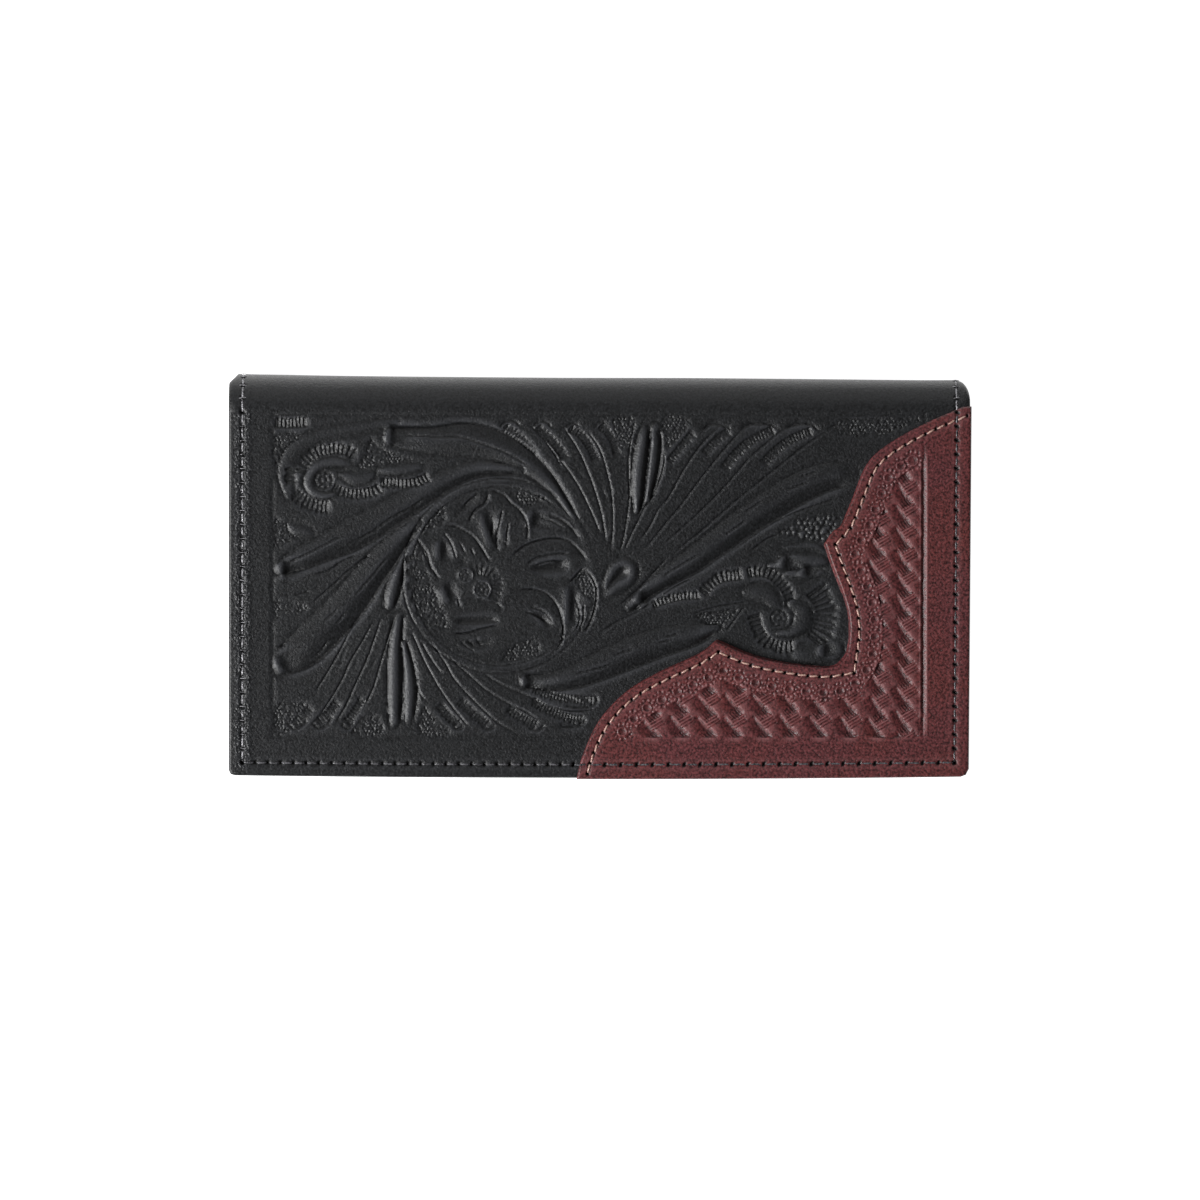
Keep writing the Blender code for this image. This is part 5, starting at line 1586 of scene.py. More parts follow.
class Stitching:
    """Rows of stitches, and of other small parts that repeat along a path, laid by one node tree."""

    SEED = 5

    def __init__(self) -> None:
        """Builds the node tree that lays a row."""
        tree = bpy.data.node_groups.new("sewn_row", "GeometryNodeTree")
        wanted = (("Geometry", "Geometry"), ("Unit", "Object"), ("Count", "Int"), ("Slant", "Float"),
                  ("Waver", "Float"), ("Finish", "Material"))
        for name, kind in wanted:
            tree.interface.new_socket(name, in_out="INPUT", socket_type="NodeSocket" + kind)
        tree.interface.new_socket("Geometry", in_out="OUTPUT", socket_type="NodeSocketGeometry")
        given = add(tree, "NodeGroupInput").outputs
        line = add(tree, "GeometryNodeMeshToCurve", {"Mesh": given["Geometry"]})
        spots = add(tree, "GeometryNodeCurveToPoints", {"Curve": line, "Count": given["Count"]}, mode="COUNT")
        facing = add(tree, "GeometryNodeInputNamedAttribute", {"Name": "facing"}, data_type="FLOAT_VECTOR")
        upright = add(tree, "FunctionNodeAlignRotationToVector", {"Vector": facing}, axis="Z")
        ahead = add(tree, "FunctionNodeAlignRotationToVector",
                    {"Rotation": upright, "Vector": spots.outputs["Tangent"]}, axis="X", pivot_axis="Z")
        less, more = (add(tree, "ShaderNodeMath", {0: given["Slant"], 1: given["Waver"]}, operation=way)
                      for way in ("SUBTRACT", "ADD"))
        turn = add(tree, "FunctionNodeRandomValue", {2: less, 3: more, 8: self.SEED}, data_type="FLOAT")
        about = add(tree, "ShaderNodeCombineXYZ", {"Z": turn})
        euler = add(tree, "FunctionNodeEulerToRotation", {0: about})
        slanted = add(tree, "FunctionNodeRotateRotation", {0: ahead, 1: euler}, rotation_space="LOCAL")
        unit = add(tree, "GeometryNodeObjectInfo", {"Object": given["Unit"]}).outputs["Geometry"]
        laid = add(tree, "GeometryNodeInstanceOnPoints", {"Points": spots, "Instance": unit,
                                                          "Rotation": slanted})
        real = add(tree, "GeometryNodeRealizeInstances", {0: laid})
        dyed = add(tree, "GeometryNodeSetMaterial", {"Geometry": real, "Material": given["Finish"]})
        add(tree, "NodeGroupOutput", {0: dyed})
        self.tree = tree

    def unit(self, length: float, radius: float, arch: float) -> Piece:
        """Makes one stitch of two twisted plies that dips into its holes.

        Args:
            length: from hole to hole, in millimetres.
            radius: the thread's radius.
            arch: how far its middle stands over its ends.

        Returns:
            The stitch, centred on the origin along x.
        """
        rings, sides = 11, 8
        rows = []
        for k in range(rings):
            t = k / (rings - 1)
            lift = arch * (1 - abs(2 * t - 1) ** 2.6) - 0.12
            wide = radius * (0.55 + 0.45 * math.sin(math.pi * min(max(t, 0.06), 0.94)) ** 0.35)
            for n in range(sides):
                a = 2 * math.pi * n / sides
                ply = 1 + 0.17 * math.cos(2 * (a - 3.4 * math.pi * t))
                rows.append(((t - 0.5) * (length - 0.6), wide * ply * math.cos(a),
                             lift + 0.8 * wide * ply * math.sin(a)))
        return new_object("stitch_unit", np.array(rows), tube_faces(rings, sides), BLACK_THREAD.done(), 80.0)

    def row(self, name: str, holes: Array, facing: Array, thread: Finish, radius: float = 0.25,
            arch: float = 0.3, slant: float = 0.0, waver: float = 2.5) -> Piece:
        """Sews one row from hole to hole.

        Args:
            name: the piece's name.
            holes: the holes, in millimetres.
            facing: the way out of the leather at each hole.
            thread: the thread's finish.
            radius: the thread's radius.
            arch: how far a stitch stands over its ends.
            slant: how many degrees a stitch is turned off the seam.
            waver: how many degrees the stitches differ.

        Returns:
            The row as one mesh.
        """
        middles = (holes[:-1] + holes[1:]) / 2
        normals = facing[:-1] + facing[1:]
        normals /= np.linalg.norm(normals, axis=1)[:, None]
        pitch = float(np.mean(np.linalg.norm(np.diff(holes, axis=0), axis=1)))
        return self.lay(name, self.unit(pitch, radius, arch), middles, normals, thread, slant, waver)

    def fibres(self, name: str, holes: Array, facing: Array, thread: Finish) -> Piece:
        """Lays a loose fibre of the thread square to the seam over each hole.

        Args:
            name: the piece's name.
            holes: the holes, in millimetres.
            facing: the way out of the leather at each hole.
            thread: the thread's finish.

        Returns:
            The fibres as one mesh.
        """
        return self.lay(name, self.unit(2.3, 0.09, 0.1), holes, facing, thread, 84.0, 14.0)

    def lay(self, name: str, unit: Piece, places: Array, facing: Array, finish: Finish,
            slant: float = 0.0, waver: float = 0.0) -> Piece:
        """Lays one unit at each place of a row.

        Args:
            name: the piece's name.
            unit: what is laid, centred on the origin along x, which goes.
            places: the places, evenly spaced, in millimetres.
            facing: the way the unit's z points at each place.
            finish: its finish.
            slant: how many degrees a unit is turned off the row.
            waver: how many degrees the units differ.

        Returns:
            The row as one mesh.
        """
        mesh = bpy.data.meshes.new("seam_line")
        mesh.from_pydata((places * MM).tolist(), [(k, k + 1) for k in range(len(places) - 1)], [])
        kept = mesh.attributes.new("facing", "FLOAT_VECTOR", "POINT")
        kept.data.foreach_set("vector", np.asarray(facing, np.float32).ravel())
        line = bpy.data.objects.new("seam_line", mesh)
        bpy.context.scene.collection.objects.link(line)
        values = {"Unit": unit, "Count": len(places), "Slant": math.radians(slant),
                  "Waver": math.radians(waver), "Finish": finish.done()}
        step = line.modifiers.new("laid", "NODES")
        step.node_group = self.tree
        for item in self.tree.interface.items_tree:
            if item.in_out == "INPUT" and item.name in values:
                step[item.identifier] = values[item.name]
        seen = line.evaluated_get(bpy.context.evaluated_depsgraph_get())
        mesh = bpy.data.meshes.new_from_object(seen)
        mesh.name = name
        if "facing" in mesh.attributes:
            mesh.attributes.remove(mesh.attributes["facing"])
        made = bpy.data.objects.new(name, mesh)
        bpy.context.scene.collection.objects.link(made)
        for spent in (line, unit):
            bpy.data.objects.remove(spent)
        return made


def on_face(run: Array, level: float, up: float = 1.0) -> tuple[Array, Array]:
    """Puts a run of holes on a flat face.

    Args:
        run: the holes' places on the face, in millimetres.
        level: the face's height.
        up: 1 if the face looks up, -1 if it looks down.

    Returns:
        The holes, and the way out of the face at each.
    """
    return np.column_stack([run, np.full(len(run), level)]), np.tile([0.0, 0.0, up], (len(run), 1))


# The covers

FIELD = ((-78.5, -38.5), (78.0, 38.8))


@dataclass
class Cover:
    """One cover: its leather worked inside a border line, and the seam round it."""

    face: Face
    stitching: Stitching
    step: float = 0.19
    budget: int = 83500
    groove: float = 0.16
    awl: float = 0.55
    scuffed: Point = (2.2, 0.33)
    # The stamps of the back cover: the spacing of their columns and how much every second one is set off
    stamp_pitch: float = 6.65
    stamp_offset: float = 2.2

    def border(self, relief: Relief) -> None:
        """Keeps the work inside the border line and presses the line.

        Args:
            relief: the leather.
        """
        (x0, y0), (x1, y1) = FIELD
        corners = np.array([(x0, y0), (x1, y0), (x1, y1), (x0, y1)], float)
        win, deep = relief.within(corners, 99.0)
        mask = np.zeros_like(relief.h)
        mask[win] = ease(deep / 0.35)
        relief.h *= mask
        relief.crease(corners, self.groove)

    def build(self) -> Pieces:
        """Makes the cover's leather and its seam.

        Returns:
            The pieces with their bodies.
        """
        front = self.face is Face.FRONT
        relief = Relief((LEFT - 1.2, OPEN_EDGE - 1.5), (RIGHT + 1.2, FOLD_Y), self.step)
        runs = perimeter_holes()
        if front:
            Carving(relief).carve()
            covered = overlay_outline(2.0)
        else:
            covered = None
            (x0, y0), (x1, y1) = FIELD
            low, high = (x0 + 0.6, y0 + 0.6), (x1 - 0.6, y1 - 0.6)
            area = np.array([low, (high[0], low[1]), high, (low[0], high[1])])
            columns = np.arange(x0 + 3.0, x1, self.stamp_pitch)
            starts = [(x, -36.4 + self.stamp_offset * (k % 2)) for k, x in enumerate(columns)]
            BasketStamp(relief).fill(area, starts, turn=0.0)
        self.border(relief)
        relief.stitch_groove(perimeter_seam(), self.groove)
        for run in runs:
            relief.awl_holes(run, self.awl)
        if front:
            relief.scuff(perimeter_runs()[0], *self.scuffed)
        top = THICKNESS if front else 0.0
        leather = relief.sheet(f"{self.face.value}_cover_tooled", cover_outline(), top, LEATHER,
                               BLACK_LEATHER.done(), self.budget, covered, not front, flush=FOLD_Y)
        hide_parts(f"{self.face.value}_cover_leather", f"{self.face.value}_seam_thread")
        shown = runs[:2] if front else runs
        up = 1.0 if front else -1.0
        level = THICKNESS - 0.3 if front else 0.4
        name = f"{self.face.value}_perimeter_stitches"
        threads = (FRAYED_THREAD, BLACK_THREAD) if front else (BLACK_THREAD,) * len(shown)
        pieces = [leather]
        for number, (run, thread) in enumerate(zip(shown, threads)):
            pieces.append(self.stitching.row(f"{name}_{number + 1}", *on_face(run, level, up), thread))
            if thread is FRAYED_THREAD:
                over = on_face(run[1:-1], level + FIBRE_LIFT, up)
                pieces.append(self.stitching.fibres("front_seam_fibres", *over, thread))
        return [(piece, self.face.value) for piece in pieces]


@dataclass
class Overlay:
    """The scalloped corner overlay: basket stamping, a row of ring stamps, and two seams."""

    stitching: Stitching
    seam_inset: float = 2.35
    seam_corner: Point = (61.0, -23.1)
    ring_inset: float = 6.1
    ring_pitch: float = 4.1
    stamp_inset: float = 7.9
    stamp_right: float = 77.7
    groove: float = 0.12
    step: float = 0.19
    budget: int = 84000

    def rounded(self, piece: Piece) -> None:
        """Bends the piece's top end down with the fold.

        Args:
            piece: the piece.
        """
        for v in piece.data.vertices:
            past = v.co.y / MM - FOLD_Y
            if past > 0:
                v.co.z -= (FOLD_RADIUS - math.sqrt(max(0.0, FOLD_RADIUS ** 2 - past ** 2))) * MM

    def build(self) -> Pieces:
        """Makes the overlay and its seams.

        Returns:
            The pieces with their bodies.
        """
        relief = Relief((-8.0, OPEN_EDGE - 1.2), (RIGHT + 1.2, 43.0), self.step)
        inner = overlay_edge(self.stamp_inset)
        low = FIELD[0][1] - 0.2
        right = self.stamp_right
        inside = inner[(inner[:, 0] < right - 1) & (inner[:, 1] > low + 1)]
        area = np.vstack([inside, [(inside[-1, 0] - 1.5, low), (right, low), (right, inside[0, 1] + 1.0)]])
        stamp = BasketStamp(relief)
        stamp.fill(area, [(x + 6.6, y - 2.0) for x, y in stamp.STARTS[:1]] + stamp.STARTS)
        line = [(right, 33.0), (right, 10.0), (right - 0.1, -15.0), (right - 0.1, low - 0.8)]
        relief.cut(line, 0.32, 0.55)
        self.rings(relief, right, low)
        tan_runs = self.tan_runs()
        for run in tan_runs:
            relief.stitch_groove(run, self.groove, 0.7)
        for run in tan_runs:
            relief.awl_holes(run, 0.42)
        relief.stitch_groove(perimeter_seam(), self.groove)
        black_runs = perimeter_holes()[2:]
        for run in black_runs:
            relief.awl_holes(run, 0.58)
        leather = relief.sheet("corner_overlay_stamped", overlay_outline(), OVERLAY_TOP, 1.4,
                               BROWN_LEATHER.done(), self.budget)
        self.rounded(leather)
        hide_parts("corner_overlay", "overlay_edge_thread", "overlay_seam_thread")
        pieces = [leather]
        for name, slot, runs, thread, depth, radius, slant in (
                ("overlay_scallop_stitches", "tan_thread", tan_runs, TAN_THREAD, 0.2, 0.25, 6.0),
                ("overlay_perimeter_stitches", "black_thread", black_runs, BLACK_THREAD, 0.32, 0.26, 0.0)):
            seam = joined([self.stitching.row(name, *on_face(run, OVERLAY_TOP - depth), thread, radius,
                                              radius, slant, 3.0) for run in runs], name)
            self.rounded(seam)
            pieces.append(seam)
        return [(piece, "front") for piece in pieces]

    def tan_runs(self) -> list[Array]:
        """Gives the holes of the seam along the scallops, with one at each of its corners.

        Returns:
            The holes of each run.
        """
        upper, middle, lower = overlay_arcs(self.seam_inset)
        corner = np.array([self.seam_corner])
        far = np.linalg.norm(middle - corner, axis=1)
        turn = int(np.argmin(far))
        down, back = (part[np.linalg.norm(part - corner, axis=1) > 4.5]
                      for part in (middle[:turn], middle[turn:]))
        runs = [upper[upper[:, 0] < RIGHT + 0.1], np.vstack([down, corner]), np.vstack([corner, back]),
                lower[lower[:, 1] > OPEN_EDGE + 0.2]]
        return [spaced(run, TAN_PITCH) for run in runs]

    def rings(self, relief: Relief, right: float, low: float) -> None:
        """Stamps the row of beaded rings along the scalloped edge.

        Args:
            relief: the leather.
            right: where the row ends at the right.
            low: where it ends at the bottom.
        """
        line = overlay_edge(self.ring_inset)
        line = line[(line[:, 0] < right - 0.8) & (line[:, 1] > low + 1.2)]
        for x, y in spaced(line, self.ring_pitch)[1:]:
            relief.rosette((float(x), float(y)))
        relief.rosette((75.0, 27.8), 2.2, 12)


# The fold

@dataclass
class Spine:
    """The cover leather where it rolls over the fold, in four parts."""

    stitching: Stitching
    turns: int = 24
    thread_depth: float = 0.17
    crest_x: tuple[float, ...] = (-88, -86, -65, -45, -10, 21, 50, 78, 88)
    crest_y: tuple[float, ...] = (48.85, 48.85, 48.4, 48.15, 47.85, 47.8, 47.5, 47.15, 47.2)
    joints: tuple[tuple[str, str], ...] = (("back", "fold_low"), ("fold_low", "fold_mid"),
                                           ("fold_mid", "fold_high"), ("fold_high", "front"))

    def place(self, x: Array, angle: Array, depth: Array) -> Array:
        """Gives points of the fold's leather.

        Args:
            x: the place along the fold.
            angle: the turn round the fold, -90 degrees at the back and 90 at the front, in radians.
            depth: how deep in the leather.

        Returns:
            The points in millimetres.
        """
        x, angle, depth = np.broadcast_arrays(x, angle, depth)
        radius = FOLD_RADIUS - depth
        flat = (np.interp(x, self.crest_x, self.crest_y) - FOLD_Y) / FOLD_RADIUS
        y = radius * np.cos(angle) * (flat + (1 - flat) * np.abs(np.sin(angle)))
        z = FOLD_RADIUS + radius * np.sin(angle)
        left = 1.7 * ease((FOLD_Y + y - 46.2) / 2.6) * ease((-86.4 - x) / 2.8)
        past = np.clip((FOLD_Y + y - 42.0) / 5.25, 0, 1)
        right = 3.2 * (1 - np.sqrt(1 - past ** 2)) * ease((x - 85.2) / 3.6)
        return np.stack([x + left - right, FOLD_Y + y, z], -1)

    def seam_x(self) -> tuple[float, float]:
        """Gives the two seams' places along the fold."""
        return LEFT + SEAM_INSET + 0.15, RIGHT - SEAM_INSET

    def columns(self) -> Array:
        """Gives the mesh's lines across the fold, close together at the seams."""
        left, right = self.seam_x()
        fine = [s + d for s in (left, right) for d in np.arange(-1.6, 1.61, 0.27)]
        wide = list(np.arange(left + 3, right - 2, 3.9))
        return np.unique(np.round([LEFT, LEFT + 0.5, RIGHT - 0.5, RIGHT] + fine + wide, 3))

    def part(self, number: int) -> Piece:
        """Makes one part of the fold's leather.

        Args:
            number: which part, from the back.

        Returns:
            The part.
        """
        start = math.radians(-90 + 45 * number)
        angles = start + math.radians(45) * np.arange(self.turns + 1) / self.turns
        xs = self.columns()
        grid_x, grid_a = np.meshgrid(xs, angles)
        sunk = np.zeros_like(grid_x)
        hole = np.zeros_like(grid_x)
        for line in self.seam_x():
            off = np.abs(grid_x - line)
            sunk += 0.16 * ease(1 - off / 0.85)
            along = (grid_a + math.pi / 2) / FOLD_STEP
            near = np.hypot(off, (along - np.round(along)) * FOLD_STEP * FOLD_RADIUS)
            sunk += 0.6 * ease((0.72 - near) / 0.45)
            # The holes are painted near black by the material: painted shade
            hole = np.maximum(hole, ease((0.68 - near) / 0.34))
        edge = np.minimum(grid_x - LEFT, RIGHT - grid_x)
        sunk += 0.4 * np.clip(1 - edge / 0.5, 0, 1) ** 2
        outer = self.place(grid_x, grid_a, sunk).reshape(-1, 3)
        inner = self.place(grid_x, grid_a, np.full_like(grid_x, LEATHER)).reshape(-1, 3)
        rows, cols = grid_x.shape
        count = rows * cols
        last = cols - 1

        def at(i: int, j: int, deep: int = 0) -> int:
            """Numbers a point of the part."""
            return deep * count + i * cols + j

        faces = []
        for i in range(rows - 1):
            for j in range(last):
                faces.append([at(i, j), at(i, j + 1), at(i + 1, j + 1), at(i + 1, j)])
                faces.append([at(i, j, 1), at(i + 1, j, 1), at(i + 1, j + 1, 1), at(i, j + 1, 1)])
            faces.append([at(i, 0), at(i + 1, 0), at(i + 1, 0, 1), at(i, 0, 1)])
            faces.append([at(i, last), at(i, last, 1), at(i + 1, last, 1), at(i + 1, last)])
        for j in range(last):
            faces.append([at(0, j), at(0, j, 1), at(0, j + 1, 1), at(0, j + 1)])
            faces.append([at(rows - 1, j), at(rows - 1, j + 1), at(rows - 1, j + 1, 1), at(rows - 1, j, 1)])
        made = new_object(f"fold_leather_{number + 1}", np.vstack([outer, inner]), faces,
                          BLACK_LEATHER.done(), 50.0)
        point_values(made, "carve", np.zeros(2 * count))
        point_values(made, "hole", np.concatenate([hole.ravel(), np.zeros(count)]))
        return made

    def seams(self, number: int) -> Piece:
        """Sews the two rows over one part of the fold.

        Args:
            number: which part, from the back.

        Returns:
            Both rows as one mesh.
        """
        name = f"fold_stitches_{number + 1}"
        start, end = math.radians(45 * number), math.radians(45 + 45 * number)
        first, last = math.ceil(start / FOLD_STEP - 0.5), math.floor(end / FOLD_STEP + 0.5)
        angles = -math.pi / 2 + FOLD_STEP * np.arange(first, last + 1)
        ways = np.stack([np.zeros_like(angles), np.cos(angles), np.sin(angles)], 1)
        rows = []
        for line in self.seam_x():
            holes = self.place(np.full_like(angles, line), angles, np.full_like(angles, self.thread_depth))
            rows.append(self.stitching.row(name, holes, ways, FRAYED_THREAD))
            over = holes[:-1] + FIBRE_LIFT * ways[:-1]
            rows.append(self.stitching.fibres(name, over, ways[:-1], FRAYED_THREAD))
        return joined(rows, name)

    def build(self) -> list[Piece]:
        """Makes the four parts with their seams.

        Returns:
            The pieces.
        """
        pieces = []
        for number, (low, high) in enumerate(self.joints):
            leather, seam = self.part(number), self.seams(number)
            for piece in (leather, seam):
                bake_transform(piece)
            nodes = {1: ("fold_lower", "fold_middle"), 2: ("fold_upper",)}.get(number)
            if nodes:
                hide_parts(*nodes)
            pieces += [leather, seam]
        return pieces


def joined(pieces: list[Piece], name: str) -> Piece:
    """Joins pieces to one mesh, each with its own finish.

    Args:
        pieces: the pieces, which go.
        name: the new piece's name.

    Returns:
        The joined piece.
    """
    points, faces, finishes, count = [], [], [], 0
    for piece in pieces:
        mesh = piece.data
        co = np.zeros(len(mesh.vertices) * 3)
        mesh.vertices.foreach_get("co", co)
        points.append(co.reshape(-1, 3) / MM)
        faces += [[v + count for v in face.vertices] for face in mesh.polygons]
        finishes += [mesh.materials[face.material_index] for face in mesh.polygons]
        count += len(mesh.vertices)
    for piece in pieces:
        bpy.data.objects.remove(piece)
    order = {finish: k for k, finish in enumerate(dict.fromkeys(finishes))}
    made = new_object(name, np.vstack(points), faces, finishes[0], 80.0)
    for other in list(order)[1:]:
        made.data.materials.append(other)
    made.data.polygons.foreach_set("material_index", [order[finish] for finish in finishes])
    return made


# The inside

class Side(Enum):
    """The sides of a panel."""

    LOW = "low"
    HIGH = "high"
    LEFT = "left"
    RIGHT = "right"


def rectangle(box: Box, inset: float = 0.0, radius: float = 0.8) -> Array:
    """Gives a rectangle with rounded corners.

    Args:
        box: its lowest x and y and its highest x and y.
        inset: how far inside the box it runs, or outside if negative.
        radius: the radius of its corners.

    Returns:
        Its points in millimetres, counter-clockwise.
    """
    x0, y0, x1, y1 = box[0] + inset, box[1] + inset, box[2] - inset, box[3] - inset
    points = []
    for cx, cy, start in ((x1 - radius, y0 + radius, -90), (x1 - radius, y1 - radius, 0),
                          (x0 + radius, y1 - radius, 90), (x0 + radius, y0 + radius, 180)):
        points += arc((cx, cy), radius, np.radians(start + 22.5 * np.arange(5)))
    return np.array(points)


@dataclass
class Panel:
    """One flat piece of the inside: rounded edges, a crease beside them, sewn rows, in some an opening."""

    node: str
    name: str
    body: str
    finish: Finish
    slot: str
    sewn: tuple[Side, ...] = ()
    span: Point = (-99.0, 99.0)
    opening: Box | None = None
    sewn_opening: bool = False
    step: float = 0.35
    budget: int = 14000
    creased: bool = True
    crease_inset: float = 1.1
    seam_inset: float = 2.3
    pitch: float = 3.2

    @property
    def faces_up(self) -> bool:
        """Whether it faces up in the closed wallet."""
        return self.body == "back"

    def rows(self, box: Box) -> list[Array]:
        """Gives the holes of each sewn row.

        Args:
            box: the panel's lowest x and y and its highest x and y.

        Returns:
            The holes in millimetres.
        """
        x0, y0, x1, y1 = (v + self.seam_inset * way for v, way in zip(box, (1, 1, -1, -1)))
        a, b = max(x0, self.span[0]), min(x1, self.span[1])
        lines = {Side.LOW: [(a, y0), (b, y0)], Side.HIGH: [(a, y1), (b, y1)],
                 Side.LEFT: [(x0, y0), (x0, y1)], Side.RIGHT: [(x1, y0), (x1, y1)]}
        wanted = [lines[side] for side in self.sewn]
        if self.sewn_opening:
            x0, y0, x1, y1 = (v - 1.9 * way for v, way in zip(self.opening, (1, 1, -1, -1)))
            wanted += [[(x0, y0), (x1, y0)], [(x0, y1), (x1, y1)], [(x0, y0), (x0, y1)], [(x1, y0), (x1, y1)]]
        return [spaced(np.array(line), self.pitch) for line in wanted]

    def build(self, stitching: Stitching) -> Pieces:
        """Makes the panel and its stitches where the model's panel is.

        Args:
            stitching: what lays the rows.

        Returns:
            The pieces with their body.
        """
        low, high = (np.array(list(corner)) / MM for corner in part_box(self.node))
        box = (low[0], low[1], high[0], high[1])
        relief = Relief((low[0] - 1, low[1] - 1), (high[0] + 1, high[1] + 1), self.step)
        waves = np.sin(relief.x[None, :] / 13 + low[2]), np.sin(relief.y[:, None] / 11 + 2 * low[2])
        relief.h += 0.04 * waves[0] * waves[1]
        opening = None if self.opening is None else rectangle(self.opening, 0.0, 3.0)
        if self.creased:
            relief.crease(rectangle(box, self.crease_inset), 0.14, 0.5)
            if opening is not None:
                relief.crease(rectangle(self.opening, -self.crease_inset, 3.0 + self.crease_inset), 0.14, 0.5)
        rows = self.rows(box)
        for row in rows:
            relief.stitch_groove(row, 0.12, 0.6)
            relief.awl_holes(row, 0.45, 0.25)
        top = high[2] if self.faces_up else -low[2]
        panel = relief.sheet(self.name, rectangle(box), top, high[2] - low[2], self.finish.done(),
                             self.budget, face_down=not self.faces_up, opening=opening)
        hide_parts(self.node)
        pieces = [panel]
        if rows:
            up = 1.0 if self.faces_up else -1.0
            level = (high[2] if self.faces_up else low[2]) - 0.14 * up
            sewn = [stitching.row("row", *on_face(row, level, up), BLACK_THREAD, 0.19, 0.18) for row in rows]
            pieces.append(joined(sewn, f"{self.name}_stitches"))
        return [(piece, self.body) for piece in pieces]


LOW_AND_HIGH = (Side.LOW, Side.HIGH)
HIDE = (INNER_LEATHER, "inner_leather")
CLOTH = (LINING, "lining")
CLOTH_MESH = {"step": 0.6, "budget": 5000, "creased": False}
# Where the rows of each card pocket show past the pocket over it
POCKET_SPANS = ((9.6, 20.4), (-3.4, 7.4), (-16.4, -5.6))
PANELS = (
    Panel("back_lining", "back_lining_cloth", "back", *CLOTH, **CLOTH_MESH),
    Panel("card_backing_panel", "card_backing_leather", "back", *HIDE, LOW_AND_HIGH, (22.6, 28.4)),
    *(Panel(f"card_pocket_{n}", f"card_pocket_leather_{n}", "back", *HIDE, LOW_AND_HIGH, span)
      for n, span in enumerate(POCKET_SPANS, 1)),
    Panel("card_pocket_4", "card_pocket_leather_4", "back", *HIDE, (*LOW_AND_HIGH, Side.LEFT),
          (-99.0, -18.6)),
    Panel("id_window_frame", "window_frame_leather", "back", *HIDE, tuple(Side),
          opening=(37.05, -38.55, 79.05, 32.2), sewn_opening=True),
    Panel("front_lining", "front_lining_cloth", "front", *CLOTH, **CLOTH_MESH),
    Panel("zip_pocket_back", "zip_pocket_cloth", "front", *CLOTH, **CLOTH_MESH),
    Panel("zip_panel", "zip_panel_leather", "front", *HIDE, (Side.HIGH, Side.LEFT, Side.RIGHT),
          opening=(-75.15, 22.9, 74.85, 32.1), sewn_opening=True),
    Panel("slip_pocket_panel", "slip_pocket_leather", "front", *HIDE, (Side.LOW, Side.LEFT, Side.RIGHT)),
    *(Panel(f"zip_tape_{side}_side", f"zip_tape_{side}_side_woven", "front", ZIP_TAPE, "zip_tape", step=0.3,
            budget=7000, crease_inset=0.7) for side in ("fold", "edge")),
)


def gusset() -> Panel:
    """Gives the strip round the zip pocket, as wide as the model's."""
    low, high = (np.array(list(corner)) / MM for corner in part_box("zip_pocket_gusset"))
    opening = (low[0] + 3, low[1] + 3, high[0] - 3, high[1] - 3)
    return Panel("zip_pocket_gusset", "zip_pocket_gusset_leather", "front", *HIDE, opening=opening,
                 creased=False)


class Casting:
    """A small metal casting, put together from plates with rounded edges."""

    def __init__(self) -> None:
        """Starts empty."""
        self.points: list[Array] = []
        self.faces: list[list[int]] = []
        self.count = 0

    def plate(self, outline: list[Point], low: float, high: float, bevel: float,
              at: tuple[float, float, float], hole: tuple[float, float, float] | None = None,
              upright: bool = False) -> None:
        """Adds one plate.

        Args:
            outline: its edge, counter-clockwise, in millimetres.
            low: its lowest level.
            high: its highest level.
            bevel: how wide its edges are rounded.
            at: where its own origin lies.
            hole: the middle and radius of a hole in it.
            upright: whether the outline stands in x and z and the plate's thickness runs along y.
        """
        ring = np.asarray(outline, float)
        ahead = np.roll(ring, -1, axis=0) - np.roll(ring, 1, axis=0)
        out = np.stack([ahead[:, 1], -ahead[:, 0]], 1)
        out /= np.maximum(np.linalg.norm(ahead, axis=1), 1e-9)[:, None]
        levels = [(bevel, low), (0.3 * bevel, low + 0.3 * bevel), (0.0, low + bevel), (0.0, high - bevel),
                  (0.3 * bevel, high - 0.3 * bevel), (bevel, high)]
        loops = [np.column_stack([ring - d * out, np.full(len(ring), z)]) for d, z in levels]
        if hole is not None:
            middle = np.array(hole[:2])
            way = (ring - middle) / np.linalg.norm(ring - middle, axis=1)[:, None]
            loops += [np.column_stack([middle + (hole[2] + 0.6 * d) * way, np.full(len(ring), z)])
                      for d, z in reversed(levels)]
        n, start = len(ring), self.count
        for k in range(len(loops) if hole is not None else len(loops) - 1):
            m = (k + 1) % len(loops)
            for i in range(n):
                j = (i + 1) % n
                corners = (k * n + i, k * n + j, m * n + j, m * n + i)
                self.faces.append([start + corner for corner in corners])
        if hole is None:
            self.faces.append([start + i for i in reversed(range(n))])
            self.faces.append([start + (len(loops) - 1) * n + i for i in range(n)])
        points = np.vstack(loops)
        if upright:
            points = np.stack([points[:, 0], -points[:, 2], points[:, 1]], 1)
        self.points.append(points + np.array(at))
        self.count += n * len(loops)

    def cast(self, name: str, node: str) -> Piece:
        """Makes the piece, which stands for a node of the model."""
        made = new_object(name, np.vstack(self.points), self.faces, ZIP_METAL.done(), 35.0)
        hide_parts(node)
        return made


